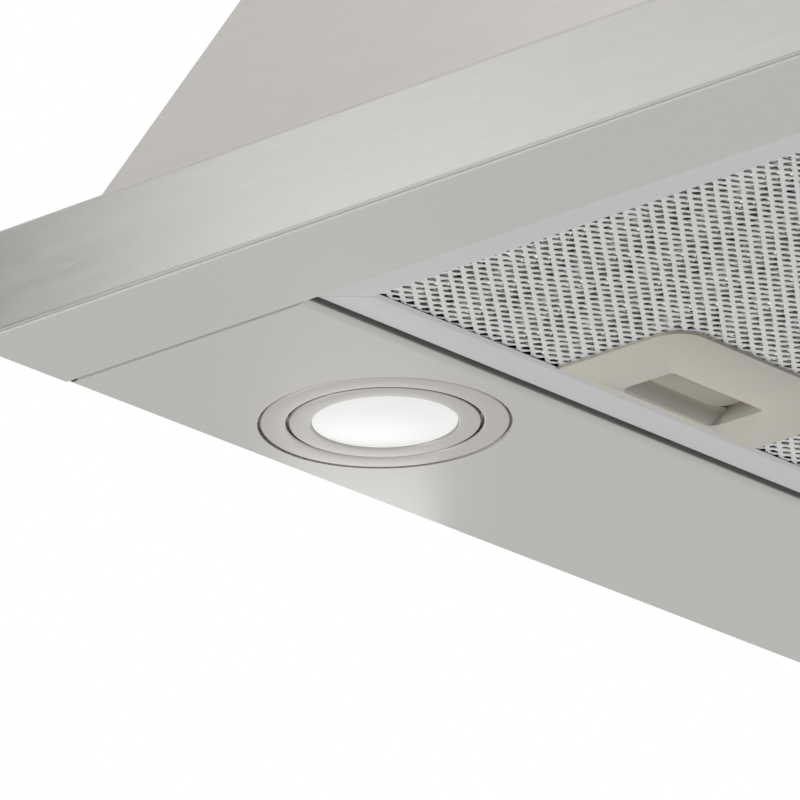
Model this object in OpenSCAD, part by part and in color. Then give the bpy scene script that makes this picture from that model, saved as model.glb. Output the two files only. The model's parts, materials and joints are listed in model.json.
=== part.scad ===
// Wall-mounted canopy range hood: a folded steel band with two mesh grease filters and two lamps
// under it, a sloping canopy, a blower with its outlet collar, and a telescopic chimney.
// The front faces -Y, the wall is at +Y, and Z = 0 is the underside of the band.

/* [Band] */
// Width of the hood
hood_w = 600; // [570:1:700]
// Depth of the hood, from its front face to the wall
hood_d = 500; // [490:1:560]
// Height of the band round the bottom
band_h = 30; // [29:0.5:44]
// Width of the level ledge between the band and the canopy
ledge_w = 19.3; // [14:0.1:26]
// Thickness of the steel sheet
sheet_t = 1; // [0.8:0.1:1.2]
// Outer radius of the folds
fold_r = 1.3; // [1.2:0.1:2.5]
// Radius of the lamp panel's bend in front of the filters
lip_r = 2; // [1.4:0.1:3]
// Height of the return lips inside the bottom edges
lip_h = 22; // [14:1:23]
// Depth of the lamp panel, from the front face to the filters
lamp_panel_d = 85.7; // [84:0.1:100]
// Depth of the rear panel, from the filters to the wall
rear_panel_d = 88.3; // [80:0.1:105]
// Gap at the seams between the band's pieces
seam_gap = 0.3; // [0.3:0.1:1]

/* [Canopy] */
// Height of the sloping canopy
canopy_h = 354; // [345:1:420]
// Width of the flanges that join the canopy's edges
joint_flange = 12; // [10:1:15]

/* [Chimney] */
// Width of the lower cover
chimney_w = 300; // [290:1:340]
// Depth of the lower cover
chimney_d = 260; // [250:1:290]
// Height of each cover
chimney_h = 400; // [360:1:500]
// Gap between the two covers
chimney_gap = 0.5; // [0.3:0.1:1]
// Width of the covers' flanges along the wall
chimney_flange = 15; // [12:1:20]

/* [Filters] */
// Width of one filter
filter_w = 259; // [250:1:262]
// Thickness of one filter
filter_t = 9; // [8.5:0.1:10]
// Width of the frame's visible bar
frame_bar = 12; // [10:0.5:14]
// Thickness of the frame's sheet
frame_t = 0.8; // [0.6:0.1:1]
// How far the frame's face lies above the band's underside
filter_recess = 1.3; // [1:0.1:2]
// Gap beside the filters and in front of them
filter_gap = 0.5; // [0.4:0.1:0.7]
// Gap between the front of the filters and the lamp panel
front_gap = 3; // [2:0.1:3.2]
// Gap behind the filters, in which they tilt
rear_gap = 3; // [3:0.1:5]
// Thickness of the expanded sheets
mesh_t = 0.8; // [0.6:0.1:1]
// Openings across one sheet
mesh_nx = 8; // [4:1:8]
// Openings along one sheet
mesh_ny = 9; // [5:1:9]
// Width of the strands
strand_w = 3; // [2:0.1:5]
// How far a filter swings down
filter_swing = 60; // [30:1:65]

/* [Latch] */
// Width of the latch plate
latch_w = 85; // [75:1:95]
// Length of the latch plate, from front to back
latch_l = 44; // [42:1:50]
// Radius of the latch plate's back corners
latch_r = 9; // [5:0.5:12]
// Width of the finger recess
recess_w = 40; // [34:0.5:50]
// Length of the finger recess
recess_l = 19.2; // [18:0.1:21]
// How far the middle of the recess lies from the middle of the plate
recess_shift = 1; // [0:0.1:2]
// Travel of the slide
latch_travel = 6; // [5:0.5:6]
// Width of each bolt
bolt_w = 8; // [6:0.5:10]
// How far the bolts reach through the lip
bolt_reach = 3; // [2:0.5:3.5]

/* [Lamps] */
// Distance from the side of the hood to a lamp's centre
lamp_side = 123.1; // [115:0.1:140]
// Distance from the front of the hood to a lamp's centre
lamp_front = 42.2; // [40:0.1:44]
// Outer radius of the trim ring
trim_r = 34.6; // [30:0.1:36]
// Outer radius of the bezel inside the trim
bezel_r = 26.6; // [24:0.1:27]
// Radius of the lens
lens_r = 20.3; // [18:0.1:21]
// Gap round the trim and the bezel
lamp_gap = 0.8; // [0.5:0.1:1]
// Height of the lamp's body
lamp_h = 22; // [18:1:25]

/* [Buttons] */
// Distance between two buttons
button_pitch = 22; // [18:1:26]
// Radius of a button
button_r = 5; // [4:0.1:5.5]
// Travel of a button
button_travel = 2.5; // [1.5:0.1:3]
// How far a button stands out of its collar
button_out = 2.5; // [2.5:0.1:4]
// Gap round a button
button_gap = 0.3; // [0.2:0.05:0.4]

/* [Blower] */
// Radius of the impeller
wheel_r = 75; // [65:1:78]
// Width of the impeller
wheel_w = 106; // [90:1:108]
// Number of blades
blades = 36; // [24:1:42]
// Width of the scroll housing
scroll_w = 120; // [116:1:130]
// Width of the gap from the impeller to the scroll at its narrowest
scroll_gap = 9; // [7:1:12]
// How far the scroll widens on its way round
scroll_growth = 34; // [28:1:36]
// Width of the scroll's outlet
outlet_l = 100; // [90:1:104]
// Height of the impeller's axis over the band's underside
wheel_z = 215; // [205:1:230]
// Radius of the motor
motor_r = 45; // [38:1:48]
// Radius of the motor shaft
shaft_r = 4; // [3:0.5:5]

/* [Outlet] */
// Outer radius of the duct spigot
spigot_r = 74.5; // [60:0.5:75]
// Height of the duct spigot
spigot_h = 60; // [50:1:80]
// Wall of the duct spigot
spigot_t = 2; // [1.5:0.1:2.5]

/* [Fixings] */
// Distance between the wall holes, across
wall_dx = 190; // [160:1:220]
// Distance between the wall holes, up and down
wall_dz = 200; // [160:1:230]
// Radius of the wall holes
wall_hole_r = 4; // [3:0.1:5]
// Radius of the screws
screw_r = 2; // [1.5:0.1:2.2]
// Radius of the screw heads
head_r = 3.6; // [3:0.1:4]

/* [Hidden] */
$fn = 48;

// Outer faces of the hood
x_side = hood_w / 2;
y_front = -hood_d / 2;
y_wall = hood_d / 2;
z_top = band_h + canopy_h;
// Small amount by which a cutting shape runs past a face
past = 1;
fold_steps = 6;
mirrored = [-1, 1];
screw_hole_r = screw_r + 0.15;
hole_play = 0.2;
head_h = 2.2;
cross_l = 4;
cross_w = 0.8;
band_screw_l = 2 * sheet_t + 2;
outlet_screw_at = 7;

// Band: the side flanges take what the two filters leave
mid_gap = filter_gap + 0.1;
flange_w = (hood_w - 2 * filter_w - 2 * filter_gap - mid_gap) / 2;
x_flange = x_side - flange_w;
x_panel = x_flange - seam_gap;
y_lip = y_front + lamp_panel_d;
y_rear = y_wall - rear_panel_d;
ledge_end = ledge_w + joint_flange;
screw_inset = ledge_w + joint_flange / 2 + 1;

// Canopy: how far its sides and its front lean, for each millimetre of height
side_run = (x_side - ledge_w - chimney_w / 2) / canopy_h;
front_run = (hood_d - ledge_w - chimney_d) / canopy_h;
// Height of the middle of the wall holes
wall_z = band_h + canopy_h / 2;

// Filters
y_filter = y_lip + front_gap;
y_filter_back = y_rear - rear_gap;
filter_l = y_filter_back - y_filter;
z_filter = filter_recess;
z_filter_top = z_filter + filter_t;
x_filter = (filter_w + mid_gap) / 2;
hem_h = 1.2;
z_mesh = z_filter + hem_h;
mesh_play = 0.4;
mesh_margin = frame_t + mesh_play;
pad_gap = 0.1;
top_flange = frame_bar - 2;

// Tabs at the back of a filter, which pass through slots in the rear lip
tab_w = 25;
tab_t = 1.2;
tab_x = 70;
tab_reach = 10;
tab_slot_w = tab_w + 2;
tab_top = z_filter_top - 1;
z_pivot = z_filter + 2.9;
y_pivot = y_rear + sheet_t / 2;
tab_slot_h = 2 * (tab_t / 2 / cos(filter_swing) + sheet_t / 2 * tan(filter_swing)) + 0.5;

// Latch
y_latch = y_filter + frame_bar;
y_latch_back = y_latch + latch_l;
z_latch = z_filter + 0.3;
z_latch_top = z_filter_top - frame_t;
latch_wall = 2;
latch_play = 0.3;
slide_t = 1.8;
slide_w = recess_w - 7.4;
z_slide = z_latch + 4.8;
y_recess = y_latch + 2.1;
recess_r = 4;
recess_back_r = 1.5;
scoop_l = 6.4;
scoop_h = 3.8;
scoop_steps = 6;
y_slide = y_latch + latch_wall + latch_play;
y_slide_back = y_latch_back - latch_wall - latch_travel - 2 * latch_play;
y_tongue = y_recess + scoop_l + latch_play;
y_tongue_back = y_recess + recess_l + 2;
z_tongue = z_latch + 2.6;
tongue_r = 5;
bolt_x = 9;
window_play = 0.5;
bay_w = slide_w + 2 * latch_play;
spring_r = 1.5;
wire_r = 0.3;
spring_turns = 8;
spring_end_gap = 0.1;
spring_bay = 2 * (spring_r + wire_r) + 0.8;
y_spring = y_slide_back - 11;
z_spring = z_slide + 0.4;
spring_len = y_latch_back - latch_wall - y_spring - 2 * spring_end_gap;
rings_per_turn = 8;
wire_sides = 6;

// Lamps
lamp_x = x_side - lamp_side;
lamp_y = y_front + lamp_front;
trim_t = 1.6;
trim_lap = 4;
trim_top = sheet_t + trim_t;
bezel_t = 1;
bezel_top = trim_top + bezel_t;
lens_t = 1;
seat_w = 2.2;
lens_recess = 0.5;
lens_play = 0.2;
body_r = bezel_r + 3.2;
body_hollow = 5;
clip_t = 0.6;
clip_w = 10;
clip_r = 1.5;
clip_foot = 4;
clip_gap = 0.3;
clip_x = body_r + 0.1;
clip_end = trim_r + trim_lap + 8;
fins = 14;
fin_slot = 2.5;

// Buttons
z_button = band_h / 2;
collar_t = 1.1;
collar_r = button_r + button_gap + collar_t;
collar_out = 0.8;
bezel_plate_t = 2;
y_bezel_back = y_front + sheet_t + bezel_plate_t;
button_flange_t = 1.5;
button_flange_r = button_r + 1.6;
stem_r = 1.8;
stem_l = 7;
y_flange = y_bezel_back + 0.3;
y_switch = y_flange + button_flange_t + button_travel + 0.7;
switch_d = 20;
switch_h = 18;
buttons = 5;
switch_w = buttons * button_pitch + 10;
switch_foot = 3;
bezel_plate_w = switch_w + 8;

// Chimney
y_chimney = y_wall - chimney_d;
duct_y = y_wall - chimney_d / 2;
frame_flange = 15;
top_t = 1.5;
upper_inset = sheet_t + chimney_gap;
z_upper = z_top + top_t + frame_flange + 0.3;
upper_top = z_upper + chimney_h;
top_play = 0.3;
top_x = chimney_w / 2 - sheet_t - top_play;
top_y = y_chimney + sheet_t + top_play;
frame_top = z_top + top_t + frame_flange;

// Air slots near the top of the upper cover
louvre_n = 9;
louvre_w = 4;
louvre_l = 60;
louvre_pitch = 12;
louvre_drop = 90;
louvre_z = upper_top - louvre_drop;

// Wall bracket of the upper cover
bracket_t = 1.5;
bracket_h = 25;
bracket_arm = 30;
bracket_x = chimney_w / 2 - upper_inset - sheet_t - chimney_flange - 4;
bracket_end = chimney_w / 2 - upper_inset - sheet_t - 0.3;
bracket_dx = 200;
bracket_drop = 60;
z_bracket = upper_top - bracket_drop;

// Blower: the wheel turns about an axis along X
outlet_x = scroll_w / 2;
scroll_t = 1.2;
cut_r = wheel_r + scroll_gap;
end_r = cut_r + scroll_growth;
wheel_y = duct_y + outlet_l / 2 - end_r;
outlet_top = z_top - 2;
eye_r = wheel_r - 15;
blade_depth = 13;
blade_t = 0.8;
hub_t = 1.2;
running_gap = 0.05;
motor_l = 78;
motor_x = 10;
motor_step = 3;
bell_slots = 8;
motor_collar = 12;
hub_r = shaft_r + 7;
hub_l = 12;
nut_x = 9;
nut_t = 2;
disc_r = wheel_r - blade_depth + 3;
disc_holes = 6;
disc_hole_r = 8;
rim_w = 4;
rim_t = 3;
arms = 3;
arm_w = 12;
arm_t = 3;
collar_ring = 6;
rim_r = eye_r + 12;
arm_end = rim_r + 10;
grille_wire = 1.4;
grille_out = 5;
grille_rings = 5;
bracket_at = scroll_w / 2 + 1.5 * grille_out;
scroll_inner_x = scroll_w / 2 - scroll_t;
outlet_rise = outlet_top - wheel_z;
outlet_flange = 14;
tongue_rise = 25;
mouth_r = 3;
// The scroll's spiral starts at its cut-off and ends at the outlet
spiral_from = 60;
spiral_to = 360;
spiral_steps = 30;
blade_curl = 34;
blade_steps = 6;

// Outlet collar and its two flaps
collar_base = 2;
z_collar = z_top + top_t;
z_flap = z_collar + 20;
flap_x = 6;
flap_t = 1.2;
trunnion_r = 1.5;
flap_play = 0.6;
base_lap = 8;
collar_w = 2 * (spigot_r + base_lap);
bridge_y = flap_x - 3;
ledge_in = 3;
ledge_drop = 5;
trunnion_end = 0.4;

// Electrical parts
gland_x = chimney_w / 2 - 45;
gland_y = duct_y - spigot_r - 5.5;
gland_r = 8;
box_x = -178;
box_z = 60;
box_w = 100;
box_h = 60;
box_d = 34;
ear_w = 12;
ear_t = 2.5;
ear_h = 16;
capacitor_r = 14;
capacitor_l = 64;
capacitor_z = box_z + box_h + 10;
saddle_w = 20;
driver_l = 40;
driver_w = 110;
driver_h = 22;
y_driver = y_wall - sheet_t - 12;
driver_step = 12;
gland_nut_h = 6;
gland_dome_h = 8;
gland_thread_l = 8;
gland_nut_r = gland_r + 4;
gland_bore_r = gland_r - 4.5;

// Leaves of sheet metal drawn as a path along their outer face, the sheet lying to its left, with
// one radius for all the bends or a list of one for each
function left_of(a, b) = let (d = (b - a) / norm(b - a)) [-d[1], d[0]];
function fold_edge(path, off, t, r) = [
  path[0] + off * left_of(path[0], path[1]),
  for (i = [1 : 1 : len(path) - 2])
    let (n0 = left_of(path[i - 1], path[i]),
         n1 = left_of(path[i], path[i + 1]),
         turn = atan2(n0[0] * n1[1] - n0[1] * n1[0], n0 * n1),
         bend = is_list(r) ? r[i - 1] : r,
         rho = turn > 0 ? bend : t - bend,
         centre = path[i] + rho * (n0 + n1) / (1 + n0 * n1),
         start = atan2(n0[1], n0[0]))
      for (k = [0 : fold_steps])
        let (a = start + turn * k / fold_steps) centre + (off - rho) * [cos(a), sin(a)],
  path[len(path) - 1] + off * left_of(path[len(path) - 2], path[len(path) - 1])
];
function backwards(list) = [for (i = [len(list) - 1 : -1 : 0]) list[i]];
module sheet_path(path, t = sheet_t, r = fold_r)
  polygon(concat(fold_edge(path, 0, t, r), backwards(fold_edge(path, t, t, r))));

// A profile in Y and Z drawn along X between two places, and one in X and Z drawn along Y
module along_x(x0, x1) translate([x0, 0, 0]) rotate([90, 0, 90]) linear_extrude(x1 - x0) children();
module along_y(y0, y1) translate([0, y1, 0]) rotate([90, 0, 0]) linear_extrude(y1 - y0) children();
module along_z(z0, z1) translate([0, 0, z0]) linear_extrude(z1 - z0) children();
module block(low, high) translate(low) cube(high - low);
// A flat ring with two radii between two heights
module ring(outer, inner, z0, z1)
  along_z(z0, z1) difference() {
    circle(outer);
    circle(inner);
  }
// A rod along X or along Y from one place to another
module rod_x(x0, x1, r) translate([x0, 0, 0]) rotate([0, 90, 0]) cylinder(h = x1 - x0, r = r);
module rod_y(y0, y1, r) translate([0, y1, 0]) rotate([90, 0, 0]) cylinder(h = y1 - y0, r = r);
module on_side(side) if (side < 0) mirror([1, 0, 0]) children(); else children();

// Band

// Plan of the mitre at the front corner: what lies in front of it belongs to the front skirt
module corner_plan(side_piece, reach)
  on_side(1) polygon(side_piece
    ? [[x_side + past, y_front - past], [x_side - reach, y_front + reach], [0, y_front + reach],
       [0, y_front - past]]
    : [[x_side + past, y_front - past], [x_side - reach, y_front + reach],
       [x_side + past, y_front + reach]]);

function button_x(i) = (i - (buttons + 1) / 2) * button_pitch;

module front_skirt() color([0.74, 0.74, 0.72])
  difference() {
    union() {
      along_x(-x_panel, x_panel)
        sheet_path([[y_front, band_h / 2], [y_front, 0], [y_lip, 0], [y_lip, lip_h]],
                   r = [fold_r, lip_r]);
      difference() {
        union() {
          along_x(-x_side, x_side)
            sheet_path([[y_front + ledge_end, band_h], [y_front, band_h], [y_front, band_h / 2]]);
          for (s = mirrored)
            on_side(s) block([x_panel, y_front, sheet_t], [x_side, y_front + sheet_t, band_h / 2]);
        }
        for (s = mirrored)
          on_side(s) along_z(-past, band_h + past) corner_plan(false, ledge_end + past);
      }
    }
    for (s = mirrored)
      translate([s * lamp_x, lamp_y, -past]) cylinder(h = sheet_t + 2 * past, r = trim_r + lamp_gap);
    for (s = mirrored)
      for (b = mirrored)
        translate([s * x_filter + b * bolt_x, 0, 0])
          block([-bolt_w / 2 - window_play, y_lip - sheet_t - past, z_slide - window_play],
                [bolt_w / 2 + window_play, y_lip + past, z_slide + slide_t + window_play]);
    for (i = [1 : buttons])
      translate([button_x(i), 0, z_button])
        rod_y(y_front - past, y_front + sheet_t + past, collar_r + hole_play);
    band_screw_places(front = true)
      translate([0, 0, band_h - sheet_t - past])
        cylinder(h = sheet_t + 2 * past, r = screw_hole_r);
  }

module side_skirt()
  difference() {
    union() {
      along_y(y_front, y_wall - sheet_t)
        sheet_path([[x_flange, lip_h], [x_flange, 0], [x_side, 0], [x_side, band_h / 2]]);
      along_y(y_front, y_wall - sheet_t)
        sheet_path([[x_side, band_h / 2], [x_side, band_h], [x_side - ledge_end, band_h]]);
    }
    along_z(sheet_t, band_h - sheet_t - past) corner_plan(true, sheet_t);
    along_z(band_h - 2 * sheet_t - past, band_h + past) corner_plan(true, ledge_end + past);
    band_screw_places(front = false)
      translate([0, 0, band_h - sheet_t - past])
        cylinder(h = sheet_t + 2 * past, r = screw_hole_r);
  }

module side_skirt_left() color([0.74, 0.74, 0.72]) on_side(-1) side_skirt();
module side_skirt_right() color([0.74, 0.74, 0.72]) on_side(1) side_skirt();

module rear_panel() color([0.7, 0.7, 0.68])
  difference() {
    along_x(-x_panel, x_panel)
      sheet_path([[y_rear, lip_h], [y_rear, 0], [y_wall - sheet_t, 0], [y_wall - sheet_t, lip_h]]);
    for (s = mirrored)
      for (b = mirrored)
        translate([s * x_filter + b * tab_x, 0, 0])
          block([-tab_slot_w / 2, y_rear - past, z_pivot - tab_slot_h / 2],
                [tab_slot_w / 2, y_rear + sheet_t + past, z_pivot + tab_slot_h / 2]);
  }

// The plate against the wall follows the outline of the band and of the canopy
module back_plate() color([0.68, 0.69, 0.7])
  difference() {
    along_y(y_wall - sheet_t, y_wall)
      polygon([[-x_side, 0], [x_side, 0], [x_side, band_h], [x_side - ledge_w, band_h],
               [chimney_w / 2, z_top], [-chimney_w / 2, z_top], [-x_side + ledge_w, band_h],
               [-x_side, band_h]]);
    for (s = mirrored)
      for (v = mirrored)
        translate([s * wall_dx / 2, 0, wall_z + v * wall_dz / 2])
          rod_y(y_wall - sheet_t - past, y_wall + past, wall_hole_r);
    control_screw_places() rod_y(y_wall - sheet_t - past, y_wall + past, screw_hole_r);
  }

// Canopy

// A block whose top and bottom are rectangles of different sizes: [x, front y, back y] each
module frustum(z0, low, z1, high) {
  corners = [
    for (level = [[z0, low], [z1, high]])
      for (c = [[-1, 1], [1, 1], [1, 2], [-1, 2]])
        [c[0] * level[1][0], level[1][c[1]], level[0]]
  ];
  polyhedron(corners, [[0, 1, 2, 3], [7, 6, 5, 4], [0, 4, 5, 1], [1, 5, 6, 2], [2, 6, 7, 3],
                       [3, 7, 4, 0]]);
}

// Outline of the canopy at a height, drawn in by an inset at the sides and the front
function canopy_at(z, inset_x, inset_y, back) = [
  x_side - ledge_w - side_run * (z - band_h) - inset_x,
  y_front + ledge_w + front_run * (z - band_h) + inset_y,
  back
];
// Level width of a wall that leans by this run and is one sheet thick
function wall_of(run) = sheet_t * sqrt(1 + run * run);

module canopy_slice(z0, z1, inset_x, inset_y, back)
  frustum(z0, canopy_at(z0, inset_x, inset_y, back), z1, canopy_at(z1, inset_x, inset_y, back));

module canopy() color([0.8, 0.79, 0.77])
  difference() {
    canopy_slice(band_h, z_top, 0, 0, y_wall - sheet_t);
    canopy_slice(band_h + sheet_t, z_top - sheet_t, wall_of(side_run), wall_of(front_run),
                 y_wall - 2 * sheet_t);
    // Openings that leave a flange at the foot, at the top and along the wall
    block([-x_side + ledge_end, y_front + ledge_end, band_h - past],
          [x_side - ledge_end, y_wall, band_h + sheet_t + past]);
    block([-chimney_w / 2 + joint_flange, y_chimney + joint_flange, z_top - sheet_t - past],
          [chimney_w / 2 - joint_flange, y_wall, z_top + past]);
    canopy_slice(band_h - past, z_top + past, joint_flange, joint_flange + wall_of(front_run),
                 y_wall + past);
    for (s = mirrored)
      for (front = [true, false])
        on_side(s) band_screw_places(front = front)
          translate([0, 0, band_h - past]) cylinder(h = sheet_t + 2 * past, r = screw_hole_r);
  }

// A plate on the canopy's top that carries the blower, the collar and the lower chimney cover
module top_frame() color([0.66, 0.67, 0.68])
  difference() {
    union() {
      block([-top_x, top_y, z_top], [top_x, y_wall - sheet_t - top_play, z_top + top_t]);
      for (s = mirrored)
        on_side(s)
          block([top_x - top_t, top_y, z_top], [top_x, y_wall - 3 * sheet_t, frame_top]);
      block([-top_x, top_y, z_top], [top_x, top_y + top_t, frame_top]);
    }
    block([-outlet_x + scroll_t, duct_y - outlet_l / 2 + scroll_t, z_top - past],
          [outlet_x - scroll_t, duct_y + outlet_l / 2 - scroll_t, z_top + top_t + past]);
    blower_screw_places()
      translate([0, 0, z_top - past]) cylinder(h = top_t + 2 * past, r = screw_hole_r);
    translate([gland_x, gland_y, z_top - past]) cylinder(h = top_t + 2 * past, r = gland_r + 0.2);
    chimney_screw_places() rod_x(top_x - top_t - past, top_x + past, screw_hole_r);
  }

// Chimney

// Plan of a cover that is open towards the wall, drawn in by an inset
function cover_plan(inset) =
  let (x = chimney_w / 2 - inset, back = y_wall - inset, front = y_chimney + inset,
       f = chimney_flange)
    [[-x + f, back], [-x, back], [-x, front], [x, front], [x, back], [x - f, back]];

module chimney_lower() color([0.78, 0.77, 0.75])
  difference() {
    along_z(z_top, z_top + chimney_h) sheet_path(cover_plan(0));
    chimney_screw_places()
      rod_x(chimney_w / 2 - sheet_t - past, chimney_w / 2 + past, screw_hole_r);
  }

module chimney_upper() color([0.8, 0.79, 0.77])
  difference() {
    along_z(z_upper, upper_top) sheet_path(cover_plan(upper_inset));
    // Air slots near the top of both sides
    for (i = [0 : louvre_n - 1])
      translate([0, duct_y + (i - (louvre_n - 1) / 2) * louvre_pitch, louvre_z])
        for (z = [0, louvre_l])
          translate([0, 0, z]) {
            rod_x(-chimney_w / 2, chimney_w / 2, louvre_w / 2);
            block([-chimney_w / 2, -louvre_w / 2, -z], [chimney_w / 2, louvre_w / 2, louvre_l - z]);
          }
  }

module chimney_bracket() color([0.66, 0.67, 0.68])
  difference() {
    along_z(z_bracket, z_bracket + bracket_h)
      sheet_path([[bracket_end, y_wall - bracket_arm], [bracket_x, y_wall - bracket_arm],
                  [bracket_x, y_wall], [-bracket_x, y_wall], [-bracket_x, y_wall - bracket_arm],
                  [-bracket_end, y_wall - bracket_arm]], bracket_t, bracket_t + 1);
    for (s = mirrored)
      translate([s * bracket_dx / 2, 0, z_bracket + bracket_h / 2])
        rod_y(y_wall - bracket_t - past, y_wall + past, wall_hole_r);
  }

// Filters

// A frame drawn between two insets and two heights
module filter_ring(inset0, inset1, z0, z1)
  difference() {
    block([-filter_w / 2 + inset0, y_filter + inset0, z0],
          [filter_w / 2 - inset0, y_filter_back - inset0, z1]);
    block([-filter_w / 2 + inset1, y_filter + inset1, z0 - past],
          [filter_w / 2 - inset1, y_filter_back - inset1, z1 + past]);
  }

module filter_frame()
  difference() {
    union() {
      filter_ring(0, frame_bar, z_filter, z_filter + frame_t);
      filter_ring(frame_bar - frame_t, frame_bar, z_filter, z_mesh);
      filter_ring(0, frame_t, z_filter, z_filter_top);
      filter_ring(0, top_flange, z_filter_top - frame_t, z_filter_top);
    }
    for (b = mirrored)
      translate([b * bolt_x, 0, 0])
        block([-bolt_w / 2 - window_play, y_filter - past, z_slide - window_play],
              [bolt_w / 2 + window_play, y_filter + frame_t + past,
               z_slide + slide_t + window_play]);
  }

// The space that the latch takes out of the mesh and the pad
module latch_notch(play)
  block([-latch_w / 2 - play, y_filter - past, z_filter],
        [latch_w / 2 + play, y_latch_back + play, z_filter_top + past]);

module mesh_sheet(z) {
  width = filter_w - 2 * frame_bar;
  length = filter_l - 2 * frame_bar;
  pitch_x = width / mesh_nx;
  pitch_y = length / mesh_ny;
  difference() {
    block([-filter_w / 2 + mesh_margin, y_filter + mesh_margin, z],
          [filter_w / 2 - mesh_margin, y_filter_back - mesh_margin, z + mesh_t]);
    along_z(z - past, z + mesh_t + past)
      for (i = [0 : mesh_nx - 1])
        for (j = [0 : mesh_ny - 1])
          translate([(i + 0.5) * pitch_x - width / 2, y_latch + (j + 0.5) * pitch_y])
            polygon([for (c = [[-1, 0], [0, -1], [1, 0], [0, 1]])
              [c[0] * (pitch_x / 2 - strand_w / 2), c[1] * (pitch_y / 2 - strand_w / 2)]]);
    latch_notch(mesh_play);
  }
}

module filter_mesh() {
  mesh_sheet(z_mesh);
  mesh_sheet(z_filter_top - frame_t - mesh_t);
}

module filter_pad()
  difference() {
    block([-filter_w / 2 + mesh_margin, y_filter + mesh_margin, z_mesh + mesh_t + pad_gap],
          [filter_w / 2 - mesh_margin, y_filter_back - mesh_margin,
           z_filter_top - frame_t - mesh_t - pad_gap]);
    latch_notch(mesh_play);
  }

module filter_tabs()
  for (b = mirrored)
    translate([b * tab_x, 0, 0]) {
      block([-tab_w / 2, y_filter_back, z_pivot - tab_t / 2],
            [tab_w / 2, y_pivot + tab_reach, z_pivot + tab_t / 2]);
      block([-tab_w / 2, y_filter_back, z_pivot - tab_t / 2],
            [tab_w / 2, y_filter_back + tab_t, tab_top]);
    }

// Latch

// A rectangle between two corners, rounded at its front and at its back
module rounded(low, high, r_front, r_back)
  difference() {
    translate(low) square(high - low);
    for (right = [false, true])
      for (back = [false, true])
        let (r = back ? r_back : r_front, x = right ? high[0] : low[0], y = back ? high[1] : low[1],
             sx = right ? -1 : 1, sy = back ? -1 : 1)
          if (r > 0)
            translate([x, y]) mirror([1 - sx, 0]) mirror([0, 1 - sy])
              difference() {
                translate([-past, -past]) square(r + past);
                translate([r, r]) circle(r);
              }
  }

module latch_housing()
  difference() {
    along_z(z_latch, z_latch_top)
      rounded([-latch_w / 2, y_latch], [latch_w / 2, y_latch_back], 0, latch_r);
    // The finger recess: a scoop that deepens from its front edge, then the tongue's window
    intersection() {
      along_z(z_latch - past, z_slide)
        rounded([-recess_w / 2 - recess_shift, y_recess],
                [recess_w / 2 - recess_shift, y_recess + recess_l], recess_r, recess_back_r);
      along_x(-recess_w / 2 - recess_shift, recess_w / 2 - recess_shift)
        polygon(concat(
          [[y_recess + recess_l, z_latch - past], [y_recess, z_latch - past]],
          [for (k = [0 : scoop_steps])
            let (f = k / scoop_steps)
              [y_recess + scoop_l * f, z_latch + scoop_h * (1 - cos(180 * f)) / 2]],
          [[y_recess + scoop_l, z_slide], [y_recess + recess_l, z_slide]]
        ));
    }
    block([-bay_w / 2, y_tongue - latch_play, z_tongue - latch_play],
          [bay_w / 2, y_tongue_back + latch_travel + latch_play, z_slide]);
    // The bay of the slide, open at the front for the bolts
    block([-bay_w / 2, y_latch + latch_wall, z_slide - latch_play],
          [bay_w / 2, y_latch_back - latch_wall, z_slide + slide_t + latch_play]);
    for (b = mirrored)
      translate([b * bolt_x, 0, 0])
        block([-bolt_w / 2 - latch_play, y_latch - past, z_slide - latch_play],
              [bolt_w / 2 + latch_play, y_latch + latch_wall + past,
               z_slide + slide_t + latch_play]);
    // The spring's pocket
    block([-spring_bay / 2, y_spring, z_spring - spring_bay / 2],
          [spring_bay / 2, y_latch_back - latch_wall, z_spring + spring_bay / 2]);
  }

module latch_slide()
  difference() {
    union() {
      block([-slide_w / 2, y_slide, z_slide], [slide_w / 2, y_slide_back, z_slide + slide_t]);
      along_z(z_tongue, z_slide + slide_t)
        rounded([-slide_w / 2, y_tongue], [slide_w / 2, y_tongue_back], tongue_r, 0);
      for (b = mirrored)
        translate([b * bolt_x, 0, 0])
          block([-bolt_w / 2, y_lip - sheet_t - bolt_reach, z_slide],
                [bolt_w / 2, y_slide + past, z_slide + slide_t]);
    }
    block([-spring_bay / 2, y_spring, z_slide - past],
          [spring_bay / 2, y_slide_back + past, z_slide + slide_t + past]);
  }

// One unbroken tube wound about Y, between the slide and the housing's back wall
function coil_point(k) = let (a = 360 * k / rings_per_turn)
  [spring_r * cos(a), k / rings_per_turn / spring_turns * (spring_len - 2 * wire_r),
   spring_r * sin(a)];
module latch_spring() {
  last = spring_turns * rings_per_turn;
  points = [
    for (k = [0 : last])
      let (a = 360 * k / rings_per_turn)
        for (m = [0 : wire_sides - 1])
          let (b = 360 * m / wire_sides)
            coil_point(k) + wire_r * [cos(b) * cos(a), sin(b), cos(b) * sin(a)]
  ];
  faces = [
    for (k = [0 : last - 1])
      for (m = [0 : wire_sides - 1])
        let (n = (m + 1) % wire_sides, p = k * wire_sides, q = p + wire_sides)
          for (f = [[p + m, q + m, q + n], [p + m, q + n, p + n]]) f
  ];
  start = [for (m = [0 : wire_sides - 1]) m];
  end = [for (m = [wire_sides - 1 : -1 : 0]) last * wire_sides + m];
  translate([0, y_spring + spring_end_gap + wire_r, z_spring])
    polyhedron(points, concat(faces, [start, end]));
}
echo(least_gap_of_spring = spring_len / spring_turns - 2 * wire_r);

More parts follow.
